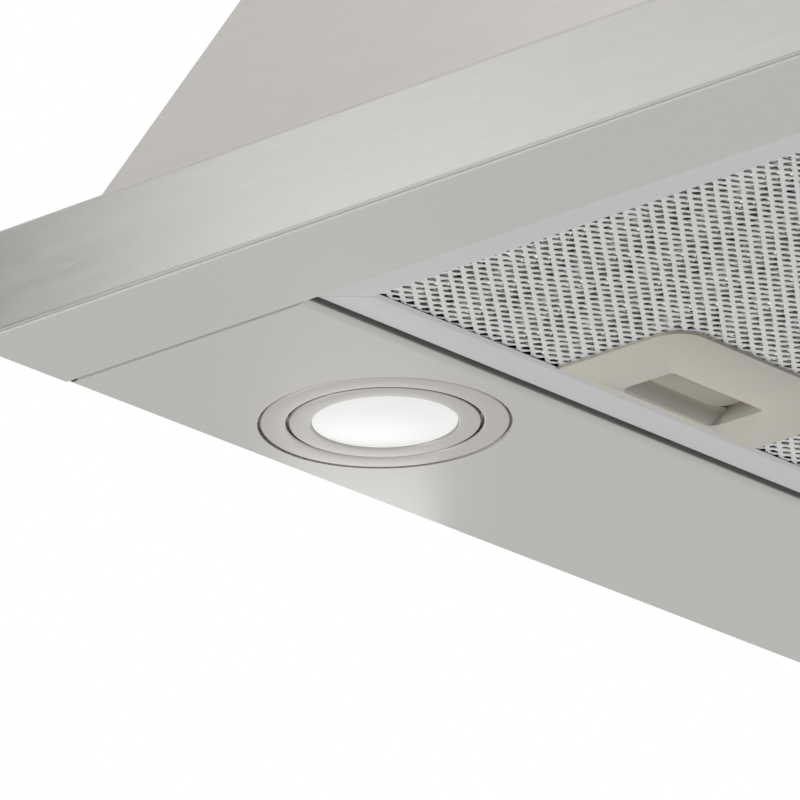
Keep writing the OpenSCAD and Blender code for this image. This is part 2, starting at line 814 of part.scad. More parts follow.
module at_filter(side) translate([side * x_filter, 0, 0]) children();
module filter_frame_left() color([0.76, 0.76, 0.77]) at_filter(-1) filter_frame();
module filter_frame_right() color([0.76, 0.76, 0.77]) at_filter(1) filter_frame();
module filter_mesh_left() color([0.85, 0.85, 0.84]) at_filter(-1) filter_mesh();
module filter_mesh_right() color([0.85, 0.85, 0.84]) at_filter(1) filter_mesh();
module filter_pad_left() color([0.45, 0.45, 0.44]) at_filter(-1) filter_pad();
module filter_pad_right() color([0.45, 0.45, 0.44]) at_filter(1) filter_pad();
module filter_tabs_left() color([0.7, 0.7, 0.71]) at_filter(-1) filter_tabs();
module filter_tabs_right() color([0.7, 0.7, 0.71]) at_filter(1) filter_tabs();
module latch_housing_left() color([0.69, 0.68, 0.63]) at_filter(-1) latch_housing();
module latch_housing_right() color([0.69, 0.68, 0.63]) at_filter(1) latch_housing();
module latch_slide_left() color([0.57, 0.57, 0.52]) at_filter(-1) latch_slide();
module latch_slide_right() color([0.57, 0.57, 0.52]) at_filter(1) latch_slide();
module latch_spring_left() color([0.6, 0.6, 0.62]) at_filter(-1) latch_spring();
module latch_spring_right() color([0.6, 0.6, 0.62]) at_filter(1) latch_spring();

// Lamps

module at_lamp(side) translate([side * lamp_x, lamp_y, 0]) children();

module lamp_trim() {
  ring(trim_r, bezel_r + lamp_gap, 0, trim_top);
  ring(trim_r + trim_lap, bezel_r + lamp_gap, sheet_t, trim_top);
}

module lamp_bezel() {
  ring(bezel_r, lens_r + lens_play, 0, bezel_top);
  ring(bezel_r + seat_w, lens_r + lens_play, trim_top, bezel_top);
}

module lamp_lens() {
  translate([0, 0, lens_recess]) cylinder(h = bezel_top - lens_recess, r = lens_r);
  translate([0, 0, bezel_top]) cylinder(h = lens_t, r = lens_r + seat_w);
}

module lamp_body()
  difference() {
    translate([0, 0, bezel_top]) cylinder(h = lamp_h, r = body_r);
    translate([0, 0, bezel_top - past])
      cylinder(h = past + body_hollow, r = lens_r + seat_w + lamp_gap);
    for (i = [0 : fins - 1])
      rotate([0, 0, (i + 0.5) * 360 / fins])
        block([body_r / 2, -fin_slot / 2, bezel_top + lamp_h / 2],
              [body_r + past, fin_slot / 2, bezel_top + lamp_h + past]);
  }

// Two leaf springs that press the trim against the panel
module lamp_clips()
  for (s = mirrored)
    rotate([0, 0, 90 - 90 * s])
      along_y(-clip_w / 2, clip_w / 2)
        sheet_path([[clip_x, bezel_top + lamp_h / 2 - 1], [clip_x, bezel_top + body_hollow],
                    [clip_end - clip_foot, sheet_t + clip_gap], [clip_end, sheet_t + clip_gap]],
                   clip_t, clip_r);

module lamp_trim_left() color([0.75, 0.74, 0.72]) at_lamp(-1) lamp_trim();
module lamp_trim_right() color([0.75, 0.74, 0.72]) at_lamp(1) lamp_trim();
module lamp_bezel_left() color([0.78, 0.77, 0.75]) at_lamp(-1) lamp_bezel();
module lamp_bezel_right() color([0.78, 0.77, 0.75]) at_lamp(1) lamp_bezel();
module lamp_lens_left() color([1, 1, 0.98]) at_lamp(-1) lamp_lens();
module lamp_lens_right() color([1, 1, 0.98]) at_lamp(1) lamp_lens();
module lamp_body_left() color([0.3, 0.3, 0.32]) at_lamp(-1) lamp_body();
module lamp_body_right() color([0.3, 0.3, 0.32]) at_lamp(1) lamp_body();
module lamp_clips_left() color([0.6, 0.6, 0.62]) at_lamp(-1) lamp_clips();
module lamp_clips_right() color([0.6, 0.6, 0.62]) at_lamp(1) lamp_clips();

// Buttons

module button_bezel() color([0.2, 0.2, 0.21])
  difference() {
    union() {
      block([-bezel_plate_w / 2, y_front + sheet_t, z_button - switch_h / 2],
            [bezel_plate_w / 2, y_bezel_back, z_button + switch_h / 2]);
      for (i = [1 : buttons])
        translate([button_x(i), 0, z_button])
          rod_y(y_front - collar_out, y_front + sheet_t + past, collar_r);
    }
    for (i = [1 : buttons])
      translate([button_x(i), 0, z_button])
        rod_y(y_front - collar_out - past, y_bezel_back + past, button_r + button_gap);
  }

module button(i) color([0.77, 0.77, 0.76])
  translate([button_x(i), 0, z_button]) {
    rod_y(y_front - collar_out - button_out, y_flange + past / 2, button_r);
    rod_y(y_flange, y_flange + button_flange_t, button_flange_r);
    rod_y(y_flange + button_flange_t, y_flange + button_flange_t + stem_l, stem_r);
  }
module button_1() button(1);
module button_2() button(2);
module button_3() button(3);
module button_4() button(4);
module button_5() button(5);

module switch_block() color([0.15, 0.15, 0.16])
  difference() {
    union() {
      block([-switch_w / 2, y_switch, z_button - switch_h / 2 + 1],
            [switch_w / 2, y_switch + switch_d, z_button + switch_h / 2 - 1]);
      for (s = mirrored)
        on_side(s)
          block([switch_w / 2 - switch_foot, y_bezel_back, z_button - switch_h / 2 + 1],
                [switch_w / 2, y_switch + past, z_button + switch_h / 2 - 1]);
    }
    for (i = [1 : buttons])
      translate([button_x(i), 0, z_button])
        rod_y(y_switch - past, y_switch + stem_l + button_travel, stem_r + button_gap);
  }

// Blower

module at_wheel() translate([0, wheel_y, wheel_z]) children();

// Scroll in Y and Z about the wheel's axis: a spiral from the cut-off, below and round the
// front, ends in the straight outlet at the back
function spiral(k, extra) =
  let (f = k / spiral_steps, a = spiral_from + f * (spiral_to - spiral_from),
       r = cut_r + f * scroll_growth + extra)
    [r * cos(a), r * sin(a)];
module scroll_outline(extra, top) {
  polygon(concat(
    [for (k = [0 : spiral_steps]) spiral(k, extra)],
    [[end_r + extra, top], [end_r - outlet_l - extra, top],
     [end_r - outlet_l - extra, cut_r * sin(spiral_from) + tongue_rise]]
  ));
}
module scroll_wrap() color([0.7, 0.71, 0.72])
  union() {
    at_wheel()
      along_x(-scroll_inner_x, scroll_inner_x)
        difference() {
          scroll_outline(0, outlet_rise);
          scroll_outline(-scroll_t, outlet_rise + past);
        }
    // Flange round the outlet, under the top frame
    along_z(outlet_top, z_top)
      difference() {
        outlet_plan(outlet_flange);
        outlet_plan(-scroll_t);
        blower_screw_places() circle(screw_hole_r);
      }
  }
module outlet_plan(extra)
  translate([-outlet_x - extra, duct_y - outlet_l / 2 - extra])
    square([2 * outlet_x + 2 * extra, outlet_l + 2 * extra]);

module scroll_side() {
  at_wheel()
    difference() {
      along_x(scroll_inner_x, scroll_w / 2) scroll_outline(0, outlet_rise);
      rod_x(scroll_inner_x - past, scroll_w / 2 + past, eye_r + mouth_r);
    }
  // Rolled mouth of the inlet
  at_wheel()
    translate([scroll_w / 2, 0, 0]) rotate([0, 90, 0])
      rotate_extrude()
        translate([eye_r + mouth_r, 0])
          difference() {
            circle(mouth_r);
            circle(mouth_r - scroll_t);
            translate([0, -2 * mouth_r]) square(4 * mouth_r);
            translate([-2 * mouth_r, 0]) square(4 * mouth_r);
          }
  at_wheel()
    along_x(scroll_w / 2 - scroll_t, scroll_w / 2)
      difference() {
        circle(eye_r + mouth_r + 0.5);
        circle(eye_r + mouth_r);
      }
}
module scroll_side_left() color([0.68, 0.69, 0.7]) on_side(-1) scroll_side();
module scroll_side_right() color([0.68, 0.69, 0.7]) on_side(1) scroll_side();

// Wire guard over an inlet: rings on a cross of spokes, on four feet
module inlet_grille(inner)
  at_wheel() translate([scroll_w / 2 + grille_out, 0, 0]) {
    for (k = [0 : grille_rings - 1])
      let (r = inner + (rim_r - inner) * k / (grille_rings - 1))
        rotate([0, 90, 0]) rotate_extrude() translate([r, 0]) circle(grille_wire / 2, $fn = 16);
    for (a = [45 : 90 : 315])
      rotate([a, 0, 0]) {
        translate([grille_wire * 0.2, inner - grille_wire, -grille_wire / 2])
          cube([grille_wire, rim_r - inner + 2 * grille_wire, grille_wire]);
        translate([-grille_out, rim_r, -grille_wire])
          cube([grille_out + 1.2 * grille_wire, grille_wire, 2 * grille_wire]);
      }
  }
module inlet_grille_left() color([0.3, 0.3, 0.32]) on_side(-1) inlet_grille(14);
module inlet_grille_right() color([0.3, 0.3, 0.32]) on_side(1) inlet_grille(motor_r + 6);

// Forward-curved blades between two rims, on a disc with a hub
function blade_edge(off) = [
  for (k = [0 : blade_steps])
    let (f = k / blade_steps, r = wheel_r - blade_t - blade_depth * (1 - f),
         a = blade_curl * (0.6 * f * f - 0.35 * f))
      [r * cos(a) - off * sin(a), r * sin(a) + off * cos(a)]
];
module impeller() color([0.55, 0.56, 0.58])
  at_wheel() {
    along_x(-wheel_w / 2, wheel_w / 2)
      for (i = [0 : blades - 1])
        rotate(i * 360 / blades)
          polygon(concat(blade_edge(-blade_t / 2), backwards(blade_edge(blade_t / 2))));
    for (x = [-wheel_w / 2, wheel_w / 2 - rim_t])
      along_x(x, x + rim_t) difference() {
        circle(wheel_r);
        circle(wheel_r - rim_w);
      }
    along_x(-hub_t, hub_t)
      difference() {
        circle(disc_r);
        circle(shaft_r);
        for (i = [0 : disc_holes - 1])
          rotate((i + 0.5) * 360 / disc_holes) translate([wheel_r / 2, 0]) circle(disc_hole_r);
      }
    along_x(-hub_l / 2, hub_l / 2) difference() {
      circle(hub_r);
      circle(shaft_r);
    }
  }

module motor_shaft() color([0.75, 0.75, 0.76])
  at_wheel() {
    rod_x(-nut_x, motor_x + motor_l - 4, shaft_r);
    rod_x(-nut_x - nut_t, -nut_x, shaft_r + 3);
  }

module motor() color([0.35, 0.36, 0.38])
  at_wheel()
    difference() {
      union() {
        rod_x(motor_x, motor_x + motor_l, motor_r - motor_step);
        rod_x(motor_x + motor_collar, motor_x + motor_l - motor_collar, motor_r);
        rod_x(motor_x - motor_step, motor_x + past, shaft_r + 8);
      }
      rod_x(motor_x - motor_step - past, motor_x + motor_l - 3, shaft_r + running_gap);
      // Air slots round the end bell
      for (i = [0 : bell_slots - 1])
        rotate([i * 360 / bell_slots, 0, 0])
          block([motor_x + motor_l - 5, motor_r / 2, -2],
                [motor_x + motor_l + past, motor_r - 8, 2]);
    }

// Three arms from a collar round the motor to the side of the scroll
module motor_bracket() color([0.5, 0.51, 0.53])
  at_wheel() {
    along_x(bracket_at, bracket_at + arm_t)
      difference() {
        union() {
          circle(motor_r + collar_ring);
          for (i = [0 : arms - 1])
            rotate(30 + i * 360 / arms) translate([motor_r + collar_ring / 2, -arm_w / 2])
              square([arm_end - motor_r - collar_ring / 2, arm_w]);
        }
        circle(motor_r + 0.1);
      }
    for (i = [0 : arms - 1])
      rotate([30 + i * 360 / arms, 0, 0])
        block([scroll_w / 2, arm_end - arm_t, -arm_w / 2],
              [bracket_at + arm_t, arm_end, arm_w / 2]);
  }

// Outlet collar with its non-return flaps

module outlet_collar() color([0.25, 0.25, 0.26])
  translate([0, duct_y, 0])
    difference() {
      union() {
        block([-collar_w / 2, -collar_w / 2, z_collar],
              [collar_w / 2, collar_w / 2, z_collar + collar_base]);
        translate([0, 0, z_collar]) cylinder(h = spigot_h, r = spigot_r);
      }
      difference() {
        translate([0, 0, z_collar - past])
          cylinder(h = spigot_h + 2 * past, r = spigot_r - spigot_t);
        // A bridge between the flaps, and the ledge on which they close
        block([-spigot_r, -bridge_y, z_flap - ledge_drop], [spigot_r, bridge_y, z_flap + 1]);
        ring(spigot_r, spigot_r - spigot_t - ledge_in, z_flap - ledge_drop,
             z_flap - flap_t / 2 - 0.3);
      }
      for (s = mirrored)
        translate([0, s * flap_x, z_flap])
          rod_x(-spigot_r - past, spigot_r + past, trunnion_r + running_gap);
      blower_screw_places(local = true)
        translate([0, 0, z_collar - past])
          cylinder(h = collar_base + 2 * past, r = screw_hole_r);
    }

// One flap is a half disc on two trunnions, the other its mirror image
module on_front(side) if (side < 0) mirror([0, 1, 0]) children(); else children();
module flap(side)
  translate([0, duct_y, z_flap]) on_front(side) {
    along_z(-flap_t / 2, flap_t / 2)
      intersection() {
        circle(spigot_r - spigot_t - flap_play);
        translate([-spigot_r, flap_x]) square([2 * spigot_r, spigot_r]);
      }
    translate([0, flap_x, 0])
      rod_x(-spigot_r + trunnion_end, spigot_r - trunnion_end, trunnion_r);
  }
module flap_front() color([0.6, 0.6, 0.61]) flap(-1);
module flap_rear() color([0.6, 0.6, 0.61]) flap(1);

// Electrical parts

module control_screw_places()
  for (s = mirrored)
    translate([box_x + s * (box_w + ear_w) / 2, 0, box_z + box_h / 2]) children();

module control_box() color([0.85, 0.85, 0.83])
  difference() {
    union() {
      block([box_x - box_w / 2, y_wall - sheet_t - box_d, box_z],
            [box_x + box_w / 2, y_wall - sheet_t, box_z + box_h]);
      block([box_x - box_w / 2 - ear_w, y_wall - sheet_t - ear_t, box_z + (box_h - ear_h) / 2],
            [box_x + box_w / 2 + ear_w, y_wall - sheet_t, box_z + (box_h + ear_h) / 2]);
      // Run capacitor in a saddle along the top of the box
      translate([0, y_wall - sheet_t - box_d / 2, capacitor_z])
        rod_x(box_x - capacitor_l / 2, box_x + capacitor_l / 2, capacitor_r);
      translate([box_x, y_wall - sheet_t - box_d / 2, 0])
        block([-saddle_w / 2, -saddle_w / 2, box_z + box_h - past],
              [saddle_w / 2, saddle_w / 2, box_z + box_h + 4]);
    }
    control_screw_places() rod_y(y_wall - 4 * sheet_t - past, y_wall, screw_hole_r);
  }

module light_driver() color([0.9, 0.9, 0.88])
  difference() {
    block([-driver_w / 2, y_driver - driver_l, sheet_t],
          [driver_w / 2, y_driver, sheet_t + driver_h]);
    for (s = mirrored)
      on_side(s)
        block([driver_w / 2 - driver_step, y_driver - driver_l - past, sheet_t + driver_h / 2],
              [driver_w / 2 + past, y_driver + past, sheet_t + driver_h + past]);
  }

module cable_gland() color([0.2, 0.2, 0.21])
  translate([gland_x, gland_y, z_top])
    difference() {
      union() {
        translate([0, 0, top_t]) cylinder(h = gland_nut_h, r = gland_nut_r, $fn = 6);
        translate([0, 0, top_t + gland_nut_h])
          cylinder(h = gland_dome_h, r1 = gland_r + 1, r2 = gland_r - 2);
        translate([0, 0, -gland_thread_l])
          cylinder(h = gland_thread_l + top_t + past, r = gland_r);
        translate([0, 0, 1 - gland_nut_h]) cylinder(h = gland_nut_h - 1, r = gland_nut_r, $fn = 6);
      }
      translate([0, 0, -gland_thread_l - past])
        cylinder(h = gland_thread_l + top_t + gland_nut_h + gland_dome_h + 2 * past,
                 r = gland_bore_r);
    }

// Screws, each a head with a cross recess on a shank

module screw(length) {
  difference() {
    cylinder(h = head_h, r1 = head_r, r2 = head_r - 0.8);
    for (a = [0, 90])
      rotate([0, 0, a])
        block([-cross_l / 2, -cross_w / 2, head_h - 1], [cross_l / 2, cross_w / 2, head_h + past]);
  }
  translate([0, 0, -length]) cylinder(h = length + head_h / 4, r = screw_r);
}

module band_screw_places(front)
  if (front)
    for (x = [-0.35, 0, 0.35]) translate([x * hood_w, y_front + screw_inset, 0]) children();
  else
    for (y = [-0.15, 0.3]) translate([x_side - screw_inset, y * hood_d, 0]) children();

module band_screws() color([0.7, 0.7, 0.72]) {
  band_screw_places(front = true)
    translate([0, 0, band_h - sheet_t]) mirror([0, 0, 1]) screw(band_screw_l);
  for (s = mirrored)
    on_side(s) band_screw_places(front = false)
      translate([0, 0, band_h - sheet_t]) mirror([0, 0, 1]) screw(band_screw_l);
}

module blower_screw_places(local = false)
  for (s = mirrored)
    for (t = mirrored)
      translate([s * (outlet_x + outlet_screw_at),
                 (local ? 0 : duct_y) + t * (outlet_l / 2 + outlet_screw_at), 0]) children();

module blower_screws() color([0.7, 0.7, 0.72])
  blower_screw_places()
    translate([0, 0, z_collar + collar_base]) screw(collar_base + top_t + 4);

module chimney_screw_places()
  for (s = mirrored)
    on_side(s)
      for (y = mirrored)
        translate([0, duct_y + y * chimney_d / 4, z_top + top_t + frame_flange / 2]) children();

module chimney_screws() color([0.7, 0.7, 0.72])
  chimney_screw_places()
    translate([chimney_w / 2, 0, 0]) rotate([0, 90, 0]) screw(5);

module bracket_screws() color([0.7, 0.7, 0.72])
  control_screw_places()
    translate([0, y_wall - sheet_t - ear_t, 0]) rotate([90, 0, 0]) screw(ear_t);

front_skirt();
side_skirt_left();
side_skirt_right();
rear_panel();
back_plate();
canopy();
top_frame();
chimney_lower();
chimney_upper();
chimney_bracket();
filter_frame_left();
filter_frame_right();
filter_mesh_left();
filter_mesh_right();
filter_pad_left();
filter_pad_right();
filter_tabs_left();
filter_tabs_right();
latch_housing_left();
latch_housing_right();
latch_slide_left();
latch_slide_right();
latch_spring_left();
latch_spring_right();
lamp_trim_left();
lamp_trim_right();
lamp_bezel_left();
lamp_bezel_right();
lamp_lens_left();
lamp_lens_right();
lamp_body_left();
lamp_body_right();
lamp_clips_left();
lamp_clips_right();
button_bezel();
button_1();
button_2();
button_3();
button_4();
button_5();
switch_block();
scroll_wrap();
scroll_side_left();
scroll_side_right();
inlet_grille_left();
inlet_grille_right();
impeller();
motor_shaft();
motor();
motor_bracket();
outlet_collar();
flap_front();
flap_rear();
control_box();
light_driver();
cable_gland();
band_screws();
blower_screws();
chimney_screws();
bracket_screws();
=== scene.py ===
"""Canopy range hood: finishes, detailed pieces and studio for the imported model."""

import json
import math

import bmesh
import bpy
from mathutils import Matrix, Vector, noise

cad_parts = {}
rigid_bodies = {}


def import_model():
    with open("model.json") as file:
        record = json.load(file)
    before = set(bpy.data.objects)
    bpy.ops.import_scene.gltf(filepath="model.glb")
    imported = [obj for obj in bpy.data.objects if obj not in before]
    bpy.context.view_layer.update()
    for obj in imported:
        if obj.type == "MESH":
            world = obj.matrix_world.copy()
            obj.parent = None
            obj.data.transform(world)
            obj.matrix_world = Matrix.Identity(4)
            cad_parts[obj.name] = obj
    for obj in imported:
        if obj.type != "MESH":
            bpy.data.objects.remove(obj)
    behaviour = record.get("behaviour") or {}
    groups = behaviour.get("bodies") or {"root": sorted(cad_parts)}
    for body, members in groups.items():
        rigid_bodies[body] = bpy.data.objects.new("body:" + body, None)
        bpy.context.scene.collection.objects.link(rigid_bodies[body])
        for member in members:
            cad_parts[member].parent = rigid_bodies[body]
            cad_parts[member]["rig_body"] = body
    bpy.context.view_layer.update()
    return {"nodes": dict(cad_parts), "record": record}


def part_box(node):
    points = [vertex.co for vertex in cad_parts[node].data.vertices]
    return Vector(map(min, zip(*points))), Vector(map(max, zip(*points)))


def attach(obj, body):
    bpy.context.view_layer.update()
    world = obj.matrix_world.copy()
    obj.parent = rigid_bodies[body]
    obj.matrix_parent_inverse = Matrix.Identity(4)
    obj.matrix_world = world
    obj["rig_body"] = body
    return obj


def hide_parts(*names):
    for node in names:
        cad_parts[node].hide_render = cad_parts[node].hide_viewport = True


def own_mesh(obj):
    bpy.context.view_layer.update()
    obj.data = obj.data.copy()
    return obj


bl_info = {
    "name": "Canopy Range Hood",
    "version": (1, 0, 0),
    "blender": (4, 5, 0),
    "location": "3D View > Sidebar > Range Hood",
    "description": "Dresses the packed range hood: mesh filters, latches, lamps, finishes, studio",
    "category": "Add Mesh",
}

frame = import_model()
MM = 0.001
SIDES = {"left": -1, "right": 1}
SLOTS = {part["node"]: part["material_slot"] for part in frame["record"]["subparts"]}


def box_mm(node):
    """Lowest and highest corner of a CAD node, in millimetres."""
    low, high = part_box(node)
    return low / MM, high / MM


def middle(low, high):
    """Middle of a box, as three numbers."""
    return [(a + b) / 2 for a, b in zip(low, high)]


# Shader maths


class Wire:
    """A value in a node tree, on which Python's arithmetic adds Math nodes."""

    def __init__(self, nodes, socket):
        self.nodes = nodes
        self.socket = socket

    def math(self, operation, first, second):
        """Adds one Math node on two values."""
        return self.nodes.add("ShaderNodeMath", {"operation": operation}, {0: first, 1: second})

    def __add__(self, other):
        return self.math("ADD", self, other)

    def __sub__(self, other):
        return self.math("SUBTRACT", self, other)

    def __mul__(self, other):
        return self.math("MULTIPLY", self, other)

    def __rsub__(self, other):
        return self.math("SUBTRACT", other, self)

    __radd__ = __add__
    __rmul__ = __mul__


class Nodes:
    """A node tree, to which one call adds a node with its settings and inputs."""

    def __init__(self, owner):
        owner.use_nodes = True
        self.tree = owner.node_tree

    def add(self, kind, settings=None, inputs=None, output=0):
        """Adds a node: its settings first, then the values or wires of its sockets."""
        node = self.tree.nodes.new(kind)
        for key, value in (settings or {}).items():
            setattr(node, key, value)
        for key, value in (inputs or {}).items():
            self.feed(node.inputs[key], value)
        return Wire(self, node.outputs[output])

    def feed(self, socket, value):
        """Links a wire to a socket, or sets the socket's own value."""
        if isinstance(value, Wire):
            self.tree.links.new(value.socket, socket)
        else:
            socket.default_value = value

    def ramp(self, value, low, high, start=0.0, end=1.0):
        """Maps a value from one range to another, and holds it there."""
        return self.add(
            "ShaderNodeMapRange", {"clamp": True},
            {"Value": value, "From Min": low, "From Max": high, "To Min": start, "To Max": end},
        )

    def fade(self, value, low, high):
        """One below the first of two marks, falling to zero at the second."""
        return self.ramp(value, low, high, 1.0, 0.0)

    def zone(self, value, low, high, soft=0.0001):
        """One where a value lies between two marks, zero outside them."""
        return self.ramp(value, low - soft, low) * self.fade(value, high, high + soft)


class Finish(Nodes):
    """One procedural material, built on Object coordinates in metres."""

    def __init__(self, name="finish", metallic=0.0, **constants):
        self.material = bpy.data.materials.new(name)
        super().__init__(self.material)
        self.shader = self.tree.nodes["Principled BSDF"]
        self.shader.inputs["Metallic"].default_value = metallic
        for socket, value in constants.items():
            self.shader.inputs[socket.replace("_", " ")].default_value = value
        self.position = self.add("ShaderNodeTexCoord", output="Object")

    def shade(self, **sockets):
        """Feeds the shader's sockets."""
        for name, value in sockets.items():
            self.feed(self.shader.inputs[name.replace("_", " ")], value)

    def mapped(self, size):
        """Object coordinates, counted in steps of a size along each axis."""
        return self.add(
            "ShaderNodeMapping", {"vector_type": "TEXTURE"},
            {"Vector": self.position, "Scale": size},
        )

    def cloud(self, size, detail=2.0, rough=0.5, distortion=0.0):
        """Noise whose features have this size in metres, one number or one an axis."""
        if isinstance(size, (int, float)):
            size = (size, size, size)
        return self.add(
            "ShaderNodeTexNoise", None,
            {"Vector": self.mapped(size), "Scale": 1.0, "Detail": detail,
             "Roughness": rough, "Distortion": distortion},
            "Fac",
        )

    def cells(self, size, feature="F1", output="Distance"):
        """Voronoi cells of this size in metres."""
        return self.add(
            "ShaderNodeTexVoronoi", {"feature": feature},
            {"Vector": self.mapped((size, size, size)), "Scale": 1.0}, output,
        )

    def axis(self, name, vector=None):
        """One coordinate of the position."""
        split = {"Vector": vector or self.position}
        return self.add("ShaderNodeSeparateXYZ", None, split, "XYZ".index(name))

    def mix(self, dark, light, factor):
        """A colour between two, each a list of three numbers or a wire."""
        colour = [c if isinstance(c, Wire) else (*c, 1) for c in (dark, light)]
        return self.add(
            "ShaderNodeMix", {"data_type": "RGBA"},
            {"Factor": factor, 6: colour[0], 7: colour[1]}, 2,
        )

    def bump(self, height, strength, distance):
        """A Bump node's normal."""
        inputs = {"Height": height, "Strength": strength, "Distance": distance}
        return self.add("ShaderNodeBump", None, inputs)

    def beyond(self, axis, centre):
        """How far a point lies beyond a place on an axis. A place on X counts on both sides."""
        value = self.axis(axis)
        if axis == "X" and centre >= 0:
            value = self.add("ShaderNodeMath", {"operation": "ABSOLUTE"}, {0: value})
        return value - centre

    def radius(self, centre, axes):
        """Distance from the nearer of two mirrored axes."""
        across, up = (self.beyond(axis, place) for axis, place in zip(axes, centre))
        return self.add("ShaderNodeMath", {"operation": "SQRT"}, {0: across * across + up * up})


def shades(colour, spread):
    """A darker and a lighter shade of a colour."""
    return [[c * (1 - spread) for c in colour], [min(c * (1 + spread), 1) for c in colour]]


# Finishes


# Where the band's steel changes: heights, and places from the middle of the hood, in metres
QUIET_HEIGHT = (0.002, 0.003)
CUT_HEIGHT = (0.00002, 0.00006)
SEAM_EDGES = (0.25925, 0.26015)
HOLE_EDGE = (-0.0002, 0.0003)
LIP_FACE = (-0.1646, -0.1641)
LIP_HEIGHT = (0.0008, 0.0016)
LIP_END = (0.262, 0.263)
FOLD_HEIGHT = (0.0005, 0.0012)
FOLD_SOFT = 0.0004
SIDE_FOLD = (0.297, 0.2975)
FRONT_FOLD = (-0.2475, -0.247)

# A cut edge's colour and lost shine, partly painted light, how raw the lip is, and the fold's
# painted shade and its strength
RAW_STEEL_AND_LIGHT = (0.6, 0.59, 0.57)
RAW_DULL = 0.75
LIP_RAW = 0.5
PAINTED_FOLD_SHADE = 0.55
PAINTED_FOLD_STRENGTH = 0.9


def pale_edges_and_painted_fold_shade(finish, shade, colour, centre, radius):
    """The band's colour, pale and dull on its cut edges, partly as painted light, and with a painted
    shade along its outer folds.
    """
    height, across, depth = finish.axis("Z"), finish.beyond("X", 0), finish.axis("Y")
    # Pale, dull cut edges at the seam, round the lamp's hole and on the lip: raw steel, partly
    # painted light
    raw_and_painted_light = finish.zone(across, *SEAM_EDGES)
    raw_and_painted_light = raw_and_painted_light + finish.zone(finish.radius(centre, "XY"), *(radius + step for step in HOLE_EDGE))
    outside = finish.ramp(across, *SIDE_FOLD) + finish.fade(depth, *FRONT_FOLD)
    raw_and_painted_light = raw_and_painted_light * finish.ramp(height, *CUT_HEIGHT) * (1.0 - outside)
    lip = finish.zone(depth, *LIP_FACE) * finish.ramp(height, *LIP_HEIGHT)
    raw_and_painted_light = raw_and_painted_light + LIP_RAW * lip * finish.fade(across, *LIP_END)
    # Painted shade along the side and front folds, dimming their highlight
    fold = finish.zone(height, *FOLD_HEIGHT, FOLD_SOFT) * outside
    shade = finish.mix(shade, [c * PAINTED_FOLD_SHADE for c in colour], PAINTED_FOLD_STRENGTH * fold)
    finish.shade(Metallic=1.0 - RAW_DULL * raw_and_painted_light)
    return finish.mix(shade, RAW_STEEL_AND_LIGHT, raw_and_painted_light)


def brushed_metal(colour, along, roughness, width=0.0004, streak=0.02, spread=0.09, hole=None):
    """Brushed sheet steel: fine streaks and light dashes along an axis. On the band, where the
    centre and radius of a lamp's hole are given, they are quiet underneath, the cut edges are pale
    and dull, partly as painted light, and the outer folds carry a painted shade."""

    def stretched(length, across):
        return [length if axis in along else across for axis in "XYZ"]

    finish = Finish(metallic=1.0)
    grain = finish.cloud(stretched(streak, width), detail=3, rough=0.6)
    broad = finish.cloud(stretched(streak * 4, width * 8), detail=1)
    dashes = finish.cloud(stretched(streak / 4, width * 1.5), detail=1)
    tone = finish.cloud(0.12, detail=1)
    strength = finish.ramp(finish.axis("Z"), *QUIET_HEIGHT, 0.2, 1.0) if hole else 1.0
    streaks = grain - 0.5 + 0.5 * (broad - 0.5) + 0.5 * finish.ramp(dashes, 0.62, 0.78)
    value = 0.5 + streaks * strength
    dark, light = shades(colour, spread)
    shade = finish.mix(dark, light, value + 0.4 * (tone - 0.5))
    if hole:
        shade = pale_edges_and_painted_fold_shade(finish, shade, colour, *hole)
    finish.shade(
        Base_Color=shade,
        Roughness=roughness + 0.14 * (value - 0.5) + 0.05 * (tone - 0.5),
        Normal=finish.bump(value, 0.05, 0.0002),
    )
    return finish.material


def galvanised_metal(colour, roughness=0.45):
    """Galvanised sheet: pale spangles of the zinc in irregular grains."""
    finish = Finish(metallic=0.85)
    spangle = finish.cells(0.009, output="Color")
    grain = finish.cloud(0.0012, detail=3)
    edge = finish.cells(0.009, "DISTANCE_TO_EDGE")
    value = finish.axis("X", spangle) * 0.7 + 0.3 * grain
    dark, light = shades(colour, 0.12)
    finish.shade(
        Base_Color=finish.mix(dark, light, value),
        Roughness=roughness + 0.18 * (value - 0.5),
        Normal=finish.bump(finish.ramp(edge, 0, 0.08), 0.08, 0.0002),
    )
    return finish.material


def satin_aluminium(colour, roughness=0.42):
    """Anodised aluminium with a fine even tooth and faint handling marks."""
    finish = Finish(metallic=0.9)
    tooth = finish.cloud(0.0003, detail=2)
    marks = finish.cloud(0.03, detail=4, distortion=0.6)
    dark, light = shades(colour, 0.035)
    finish.shade(
        Base_Color=finish.mix(dark, light, 0.5 * tooth + 0.5 * marks),
        Roughness=roughness + 0.08 * (tooth - 0.5) + 0.1 * (marks - 0.5),
        Normal=finish.bump(tooth, 0.04, 0.0001),
    )
    return finish.material


def mesh_metal(colour, roughness=0.5, metallic=0.55):
    """Expanded aluminium, dulled where it was cut and stretched."""
    finish = Finish(metallic=metallic)
    tooth = finish.cloud(0.0007, detail=3)
    patch = finish.cloud(0.02, detail=2)
    dark, light = shades(colour, 0.1)
    finish.shade(
        Base_Color=finish.mix(dark, light, 0.6 * tooth + 0.4 * patch),
        Roughness=roughness + 0.2 * (tooth - 0.5),
        Normal=finish.bump(tooth, 0.15, 0.0002),
    )
    return finish.material


